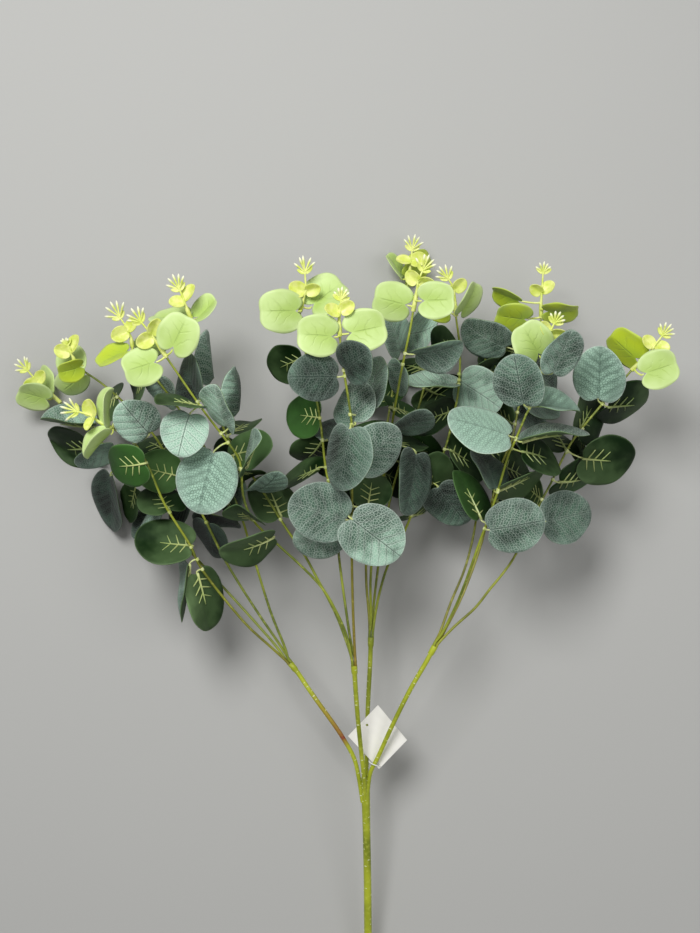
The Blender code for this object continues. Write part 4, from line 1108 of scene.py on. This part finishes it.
leafLook = {
    "reddish": {8: 0.5, 12: 0.4, 16: 0.3, 3: 0.25, 14: 0.15, 9: 0.25},  # twigs with a red start
    "collarRadius": 2.0,
    "collarLength": 3.0,
    "collarEnd": 0.85,
    "warps": [(2, 2.6), (3, 1.9), (5, 0.7)],  # waves round the rim, size in a usual leaf
    "warpRange": (0.4, 1.0),
    "outline": [(1, 0.02), (2, 0.035), (3, 0.025)],
    "outlineRange": (0.2, 1.0),
    "phase": (0, 6.28),
    "dome": (-1.5, 3.0),
    "close": (126, 138, 160, 162, 183, 202),  # leaves with a near neighbour, flatter and smaller
    "calm": 0.15,
    "trim": 0.9,
    "usualLength": 55,
    "redFade": 1.4,
    "seed": 900,
    "ribStretch": ((0.75, 1.1), (0.85, 1.08)),
}
bladeMaster = makeBlade(bladeForm["outline"])
ribMaster = makeRibs()
bladeMaster.data.materials.append(finishes["face"])
bladeMaster.data.materials.append(finishes["back"])
ribMaster.data.materials.append(finishes["rib"])
limeMaster = makeBlade(bladeForm["limeOutline"])
limeMaster.data.materials.append(finishes["lime"])
paths = {number: twigPath(number) for number in twigLines}
print("masters made")

leafKinds = {  # first: the number of the table's first leaf; freedom: of its outline
    "leafy": {"rows": leaves, "first": 100, "aspect": build["leafAspect"], "freedom": 1.0,
              "master": bladeMaster, "backSlot": 1, "stalk": "petiole", "stalkRadius": 0.8},
    "lime": {"rows": limeLeaves, "first": 0, "aspect": build["limeAspect"], "freedom": 0.5,
             "master": limeMaster, "backSlot": 0, "stalk": "tip", "stalkRadius": 0.95},
}
mouldTone = 0.15  # of the moulded parts that aren't tips of buds


def enliven(pose, freedom):  # each blade is warped a little in its own way
    d = leafLook
    chance = random.Random(d["seed"] + pose["index"])
    size = pose["length"] / d["usualLength"]
    if pose["index"] in d["close"]:
        size *= d["calm"]
        pose["length"] *= d["trim"]
        pose["width"] *= d["trim"]
    pose["warps"] = [(waves, most * size * chance.uniform(*d["warpRange"]),
                      chance.uniform(*d["phase"])) for waves, most in d["warps"]]
    pose["dome"] = chance.uniform(*d["dome"]) * size
    pose["outline"] = [(waves, most * freedom * chance.uniform(*d["outlineRange"]),
                        chance.uniform(*d["phase"])) for waves, most in d["outline"]]
    pose["ribs"] = [chance.uniform(*limits) for limits in d["ribStretch"]]


def collarLine(pose):  # a short swelling of the twig where a stalk leaves it
    half = pose["stemWay"] * (leafLook["collarLength"] / 2)
    wide = leafLook["collarRadius"]
    narrow = wide * leafLook["collarEnd"]
    return [(pose["stem"] - half, narrow), (pose["stem"], wide), (pose["stem"] + half, narrow)]


def leavesOf(kind, number, path):
    d = leafKinds[kind]
    blades, ribs, stalks, paintedLightAndHues = [], [], [], []
    for index, row in enumerate(d["rows"], d["first"]):
        if row[0] != number:
            continue
        face, paintedLightAndHue = row[7:9]
        pose = leafPose(row, path, index, d["aspect"])
        enliven(pose, d["freedom"])
        flip = 1 if face == "F" else -1
        blades.append(laid(d["master"], "blade", pose, flip, paintedLightAndHue))
        stalks.append(stalkLine(pose, d["stalkRadius"], flip))
        # a leafy stalk and its collar take their leaf's tone, its painted light
        paintedLightAndHues.append(paintedLightAndHue if kind == "leafy" else mouldTone)
        if kind == "leafy":
            ribs.append(laid(ribMaster, "rib", pose, flip, paintedLightAndHue, pose["ribs"]))
            stalks.append(collarLine(pose))
            paintedLightAndHues.append(paintedLightAndHue)
    whole = joined(blades, f"blades_{number:02d}")
    thickened(whole, build["bladeThickness"], d["backSlot"])
    return [whole] + ribs + [rods(f"stalks_{number:02d}", stalks, d["stalk"], 1, paintedLightAndHues)]


for number, path in paths.items():
    spray = joined(leavesOf("leafy", number, path), f"leaves_{number:02d}")
    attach(spray, "root")
    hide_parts(f"leafy_twig_{number:02d}")
    smooth = rounded(path)
    radii = np.linspace(*build["twigRadii"], len(smooth))
    reddest, count = leafLook["reddish"].get(number, 0.0), len(smooth)
    redness = [reddest * max(0.0, 1 - k / count * leafLook["redFade"]) for k in range(count)]
    shaft = rods(f"twig_{number:02d}", [list(zip(smooth, radii))], "twig", 3, [redness])
    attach(shaft, "root")
    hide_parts(f"leafy_twig_{number:02d}")
print("leafy twigs made")

# moulded tips with their lime leaves

tipForm = {
    "sleeveRadius": 2.35,
    "stemRadius": 1.1,
    "leafletThickness": 0.65,
    # ahead and climb: how far a leaflet leans to the tip and up; roll: the most to either side
    "leaflet": {"length": 17.0, "sizes": (0.85, 1.08), "aspect": 1.0, "ahead": (0.0, 0.9),
                "climb": (0.1, 0.6), "gap": 0.8, "fold": 0.45, "roll": 0.8},
    "oval": {"length": 8.0, "sizes": (0.9, 1.1), "aspect": 0.5, "ahead": (0.5, 0.9),
             "climb": (-0.1, 0.4), "gap": 1.2, "fold": 0.3, "roll": 0.6},
    "leafletTone": 0.35,
    "bulge": -0.07,
    "budShare": 0.9,  # a bud's share of the reach past the ovals
    "budRadius": 1.15,
    "budGirth": ([0, 0.25, 0.5, 0.75, 0.92, 1.0], [0.7, 0.7, 0.9, 1.15, 0.95, 0.4]),
    "budTurn": 5,  # degrees that a bud may stray
    "budCuts": 6,
    "seed": 300,
    "pairShare": 0.75,  # where the leaflets leave the stem, from the sleeve to the node
    "pairStep": 0.6,
    "lineStart": 2.0,  # where the lime leaves' line starts, past the twig's end
    # turn to the side, climb, size
    "buds": [(0, 0.1, 1.0), (22, 0.25, 0.95), (-24, -0.1, 0.97), (50, 0.0, 0.85),
             (-48, 0.3, 0.88)],
}


def makeLeaflet():  # a small cupped blade, thick as moulded ones are
    leaflet = copied(bladeMaster, "leafletMaster")
    leaflet.data.materials.clear()
    leaflet.data.materials.append(finishes["tip"])
    return leaflet


def makeBud():  # a slim bud on its own stalk, one unit long
    deselect()
    bpy.ops.mesh.primitive_cylinder_add(vertices=7, radius=1, depth=1, location=(0, 0, 0.5))
    bud = bpy.context.object
    bpy.ops.object.transform_apply(location=True, rotation=True, scale=True)
    bpy.context.tool_settings.mesh_select_mode = (False, True, False)
    cutAcross(bud, 1.0, tipForm["budCuts"])
    points = places(bud.data)
    points[:, :2] *= np.interp(points[:, 2], *tipForm["budGirth"])[:, None]
    putPlaces(bud.data, points)
    bud.data.materials.append(finishes["tip"])
    bpy.ops.object.shade_smooth_by_angle(angle=math.radians(60))
    return bud


leafletMaster = makeLeaflet()
budMaster = makeBud()


def addBud(root, heading, length, radius):
    bud = copied(budMaster, "bud")
    points = places(budMaster.data)
    turn = heading.to_track_quat("Z", "Y").to_matrix()
    scaled = points * np.array([radius, radius, length])
    putPlaces(bud.data, (scaled @ np.array(turn).T + np.array(root)) * mm)
    putAttribute(bud.data, "paintedLightAndHue", points[:, 2])
    return bud


def addLeaflet(d, middle, outwards, forward, chance, number):
    ahead, climb = chance.uniform(*d["ahead"]), chance.uniform(*d["climb"])
    axis = (outwards + forward * ahead + Vector((0, 0, climb))).normalized()
    length = d["length"] * chance.uniform(*d["sizes"])
    side = Vector((0, 0, 1)).cross(axis).normalized()
    turned = Matrix.Rotation(chance.uniform(-d["roll"], d["roll"]), 3, axis)
    base = middle + axis * d["gap"]
    pose = {
        "base": base, "axis": axis, "side": turned @ side, "normal": turned @ axis.cross(side),
        "length": length, "width": length * d["aspect"], "fold": d["fold"],
        "bulge": tipForm["bulge"], "wave": 0.0, "index": number,
        "narrow": d["aspect"] / build["leafAspect"],
    }
    leaflet = laid(leafletMaster, "leaflet", pose, 1, tipForm["leafletTone"])
    thickened(leaflet, tipForm["leafletThickness"], 0)
    stalk = [(middle, 0.85), (middle + axis * d["gap"] * 0.6, 0.75), (base + axis * 0.8, 0.7)]
    return leaflet, stalk


for number, (plan, budReach) in tipLines.items():
    d = tipForm
    end = paths[number][-1]
    way = (end - paths[number][-2]).normalized()
    sleeve, node, crown = (spot(*p, end.z + rise) for p, rise in zip(plan, build["tipRises"]))
    forward = (crown - node).to_2d().to_3d().normalized()
    across = forward.cross(Vector((0, 0, 1)))
    start = end + way * build["jointGap"]
    thin, wide = d["stemRadius"], d["sleeveRadius"]
    spread = crown + forward * (budReach * (1 - d["budShare"]))
    stalks = [[(start, wide * 0.8), (start + way * 0.6, wide),
               (start.lerp(sleeve, 0.7), wide * 0.92), (sleeve, wide * 0.72),
               (sleeve.lerp(node, 0.3), thin * 1.15), (node, thin * 1.2),
               (node.lerp(crown, 0.15), thin), (crown, thin * 0.85), (spread, thin * 0.8)]]
    pieces = []
    chance = random.Random(d["seed"] + number)
    for wayOut in (-1, 1):
        pairMiddle = sleeve.lerp(node, d["pairShare"]) + forward * (wayOut * d["pairStep"])
        for kind, middle in (("leaflet", pairMiddle), ("oval", crown)):
            leaflet, stalk = addLeaflet(d[kind], middle, across * wayOut, forward, chance, number)
            pieces.append(leaflet)
            stalks.append(stalk)
    for turn, climb, size in d["buds"]:
        turn += chance.uniform(-d["budTurn"], d["budTurn"])
        heading = Matrix.Rotation(math.radians(turn), 3, "Z") @ forward
        heading = (heading + Vector((0, 0, climb))).normalized()
        pieces.append(addBud(spread, heading, budReach * d["budShare"] * size, d["budRadius"]))
    body = rods(f"mould_{number:02d}", stalks, "tip", 2, [mouldTone] * len(stalks))
    tip = joined([body] + pieces, f"tip_{number:02d}")
    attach(tip, "root")
    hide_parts(f"lime_tip_{number:02d}")
    limeLine = [end + way * d["lineStart"], sleeve]
    pair = joined(leavesOf("lime", number, limeLine), f"limeLeaves_{number:02d}")
    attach(pair, "root")
    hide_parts(f"lime_tip_{number:02d}")
print("tips made")

# main stem, branches and their scars

stemForm = {
    "mainSwell": 1.08,
    "socketClear": 3.0,  # a branch's own line stops this far before its socket
    "socketFoot": 1.5,
    "socketLip": 0.8,
    "socketSwell": (0.94, 1.0, 0.9),
    "redness": ([0.36, 0.43, 0.55, 0.7, 0.8], [0, 0.95, 0.6, 0.35, 0.0]),
    "scarStep": (4.0, 8.5),  # between two scars along a branch
    "scarSize": (0.7, 1.15),
    "scarShape": (0.6, 1.7, 0.7),  # along, across and out
    "scarSunk": 0.3,
    "scarTurn": (-1.2, 0.2),  # in half turns, mostly where the light falls
    "seed": 77,
}


def makeScarMaster():
    deselect()
    bpy.ops.mesh.primitive_ico_sphere_add(subdivisions=1, radius=1)
    scar = bpy.context.object
    scar.data.materials.append(finishes["scar"])
    bpy.ops.object.shade_smooth()
    return scar


scarMaster = makeScarMaster()


def scarsAlong(line, radii, chance):
    d = stemForm
    made, reach = [], 0.0
    stop = chance.uniform(*d["scarStep"])
    for a, b, radius in zip(line, line[1:], radii):
        length = (b - a).length
        way = (b - a).normalized()
        out = way.cross(Vector((0, 0, 1))).normalized()
        while stop < reach + length:
            place = a.lerp(b, (stop - reach) / length)
            turn = chance.uniform(*d["scarTurn"]) * math.pi
            facing = Matrix.Rotation(turn, 3, way) @ out
            long, wide, tall = (chance.uniform(*d["scarSize"]) * np.array(d["scarShape"])).tolist()
            scar = copied(scarMaster, "scar")
            axes = np.array([way * long, way.cross(facing) * wide, facing * tall])
            middle = np.array(place + facing * (radius - d["scarSunk"]))
            putPlaces(scar.data, (places(scarMaster.data) @ axes + middle) * mm)
            made.append(scar)
            stop += chance.uniform(*d["scarStep"])
        reach += length
    return made


chance = random.Random(stemForm["seed"])
mainLine = rounded([spot(*p[:3]) for p in mainStemLine])
radii = [p[3] * stemForm["mainSwell"] for p in mainStemLine]
mainRadii = np.interp(np.linspace(0, len(radii) - 1, len(mainLine)), range(len(radii)), radii)
stemRods = [list(zip(mainLine, mainRadii))]
stemTones = [0.0]
scars = scarsAlong(mainLine, mainRadii, chance)
for name, plan in branchLines.items():
    points = [spot(*p) for p in plan]
    line = rounded(points, 5)
    thin, thick = build["branchRadii"]
    radii = np.linspace(thin, thick, len(line))
    end = line[-1]
    way = (points[-1] - points[-2]).normalized()
    base = end - way * build["socketLength"]
    clear = build["socketLength"] + stemForm["socketClear"]
    keep = [k for k, p in enumerate(line) if (p - end).length > clear]
    line = [line[k] for k in keep] + [base - way * stemForm["socketFoot"], base,
                                      end - way * stemForm["socketLip"], end]
    swells = [build["socketRadius"] * swell for swell in stemForm["socketSwell"]]
    radii = [radii[k] for k in keep] + [thick] + swells
    stemTones.append(0.0)
    if name == "left":  # the left branch is reddish brown along its middle
        shares = lengthsAlong(line)
        stemTones[-1] = [float(np.interp(share, *stemForm["redness"])) for share in shares]
    stemRods.append(list(zip(line, radii)))
    scars += scarsAlong(line, radii, chance)
stem = rods("stem", stemRods, "stem", 6, stemTones)
stem = joined([stem] + scars, "mainStem")
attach(stem, "root")
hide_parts("main_stem")
print("stem made")

# tag and its loop

tagForm = {
    "loopMiddle": (374.2, 763.6, 75.2),
    "loopRadius": 5.9,
    "wireRadius": 0.5,
}
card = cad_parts["tag"]
card.data.materials.clear()
card.data.materials.append(finishes["card"])

deselect()
bpy.ops.mesh.primitive_torus_add(
    major_radius=tagForm["loopRadius"] * mm, minor_radius=tagForm["wireRadius"] * mm,
    major_segments=48, minor_segments=10)
loop = bpy.context.object
loop.name = loop.data.name = "loop"
loopWay = spot(*branchLines["right"][2]) - spot(*branchLines["right"][1])
loopWay = Vector((loopWay.x, loopWay.y, 0)).normalized()
turn = np.array(loopWay.to_track_quat("Z", "Y").to_matrix())
middle = np.array(spot(*tagForm["loopMiddle"])) * mm
putPlaces(loop.data, places(loop.data) @ turn.T + middle)
loop.data.materials.append(finishes["nylon"])
bpy.ops.object.shade_smooth()
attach(loop, "root")
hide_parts("tag_loop")
print("tag made")

for master in (bladeMaster, ribMaster, limeMaster, leafletMaster, budMaster, scarMaster):
    bpy.data.objects.remove(master)

# floor, light and camera

studio = {
    "floor": "#b4b4b1",
    "floorMottle": "#bfbfbb",
    "floorSize": 8,
    "world": 0.24,
    # place, what it shines at, power, size
    "keyLight": ((-0.5, 1.1, 1.9), (0.0, 0.15, 0.1), 36.0, 0.9),
    "fillLight": ((0.9, 0.2, 1.8), (0.0, 0.1, 0.1), 8.0, 1.2),
    "sensor": 36,
    "pictureHeight": 933,
}


def makeFloor():
    deselect()
    bpy.ops.mesh.primitive_plane_add(size=studio["floorSize"], location=(0, 0, 0))
    floor = bpy.context.object
    floor.name = "floor"
    finish = Finish("paleFloor")
    mottle = finish.noise(finish.objectPlace(), 3.0, 3.0) * 0.15
    ground = finish.mix(mottle, colour(studio["floor"]), colour(studio["floorMottle"]))
    floor.data.materials.append(finish.set(Base_Color=ground, Roughness=0.9))


def addLight(name):
    place, target, power, size = studio[name]
    deselect()
    bpy.ops.object.light_add(type="AREA", location=place)
    lamp = bpy.context.object
    lamp.name = name
    lamp.data.energy = power
    lamp.data.shape = "DISK"
    lamp.data.size = size
    way = Vector(target) - Vector(place)
    lamp.rotation_euler = way.to_track_quat("-Z", "Y").to_euler()


makeFloor()
addLight("keyLight")
addLight("fillLight")
world = bpy.data.worlds.new("studioWorld")
world.use_nodes = True
world.node_tree.nodes["Background"].inputs["Color"].default_value = (1, 1, 1, 1)
world.node_tree.nodes["Background"].inputs["Strength"].default_value = studio["world"]
bpy.context.scene.world = world

deselect()
eye = spot(*sheet["middle"], 0) * mm
bpy.ops.object.camera_add(location=(eye.x, eye.y, sheet["eyeHeight"] * mm), rotation=(0, 0, 0))
camera = bpy.context.object
camera.data.sensor_width = studio["sensor"]
eyeToSheet = sheet["eyeHeight"] - sheet["trueSizeHeight"]
camera.data.lens = studio["sensor"] * eyeToSheet / studio["pictureHeight"]
bpy.context.scene.camera = camera
bpy.context.scene.view_settings.view_transform = "Standard"
print("studio made")
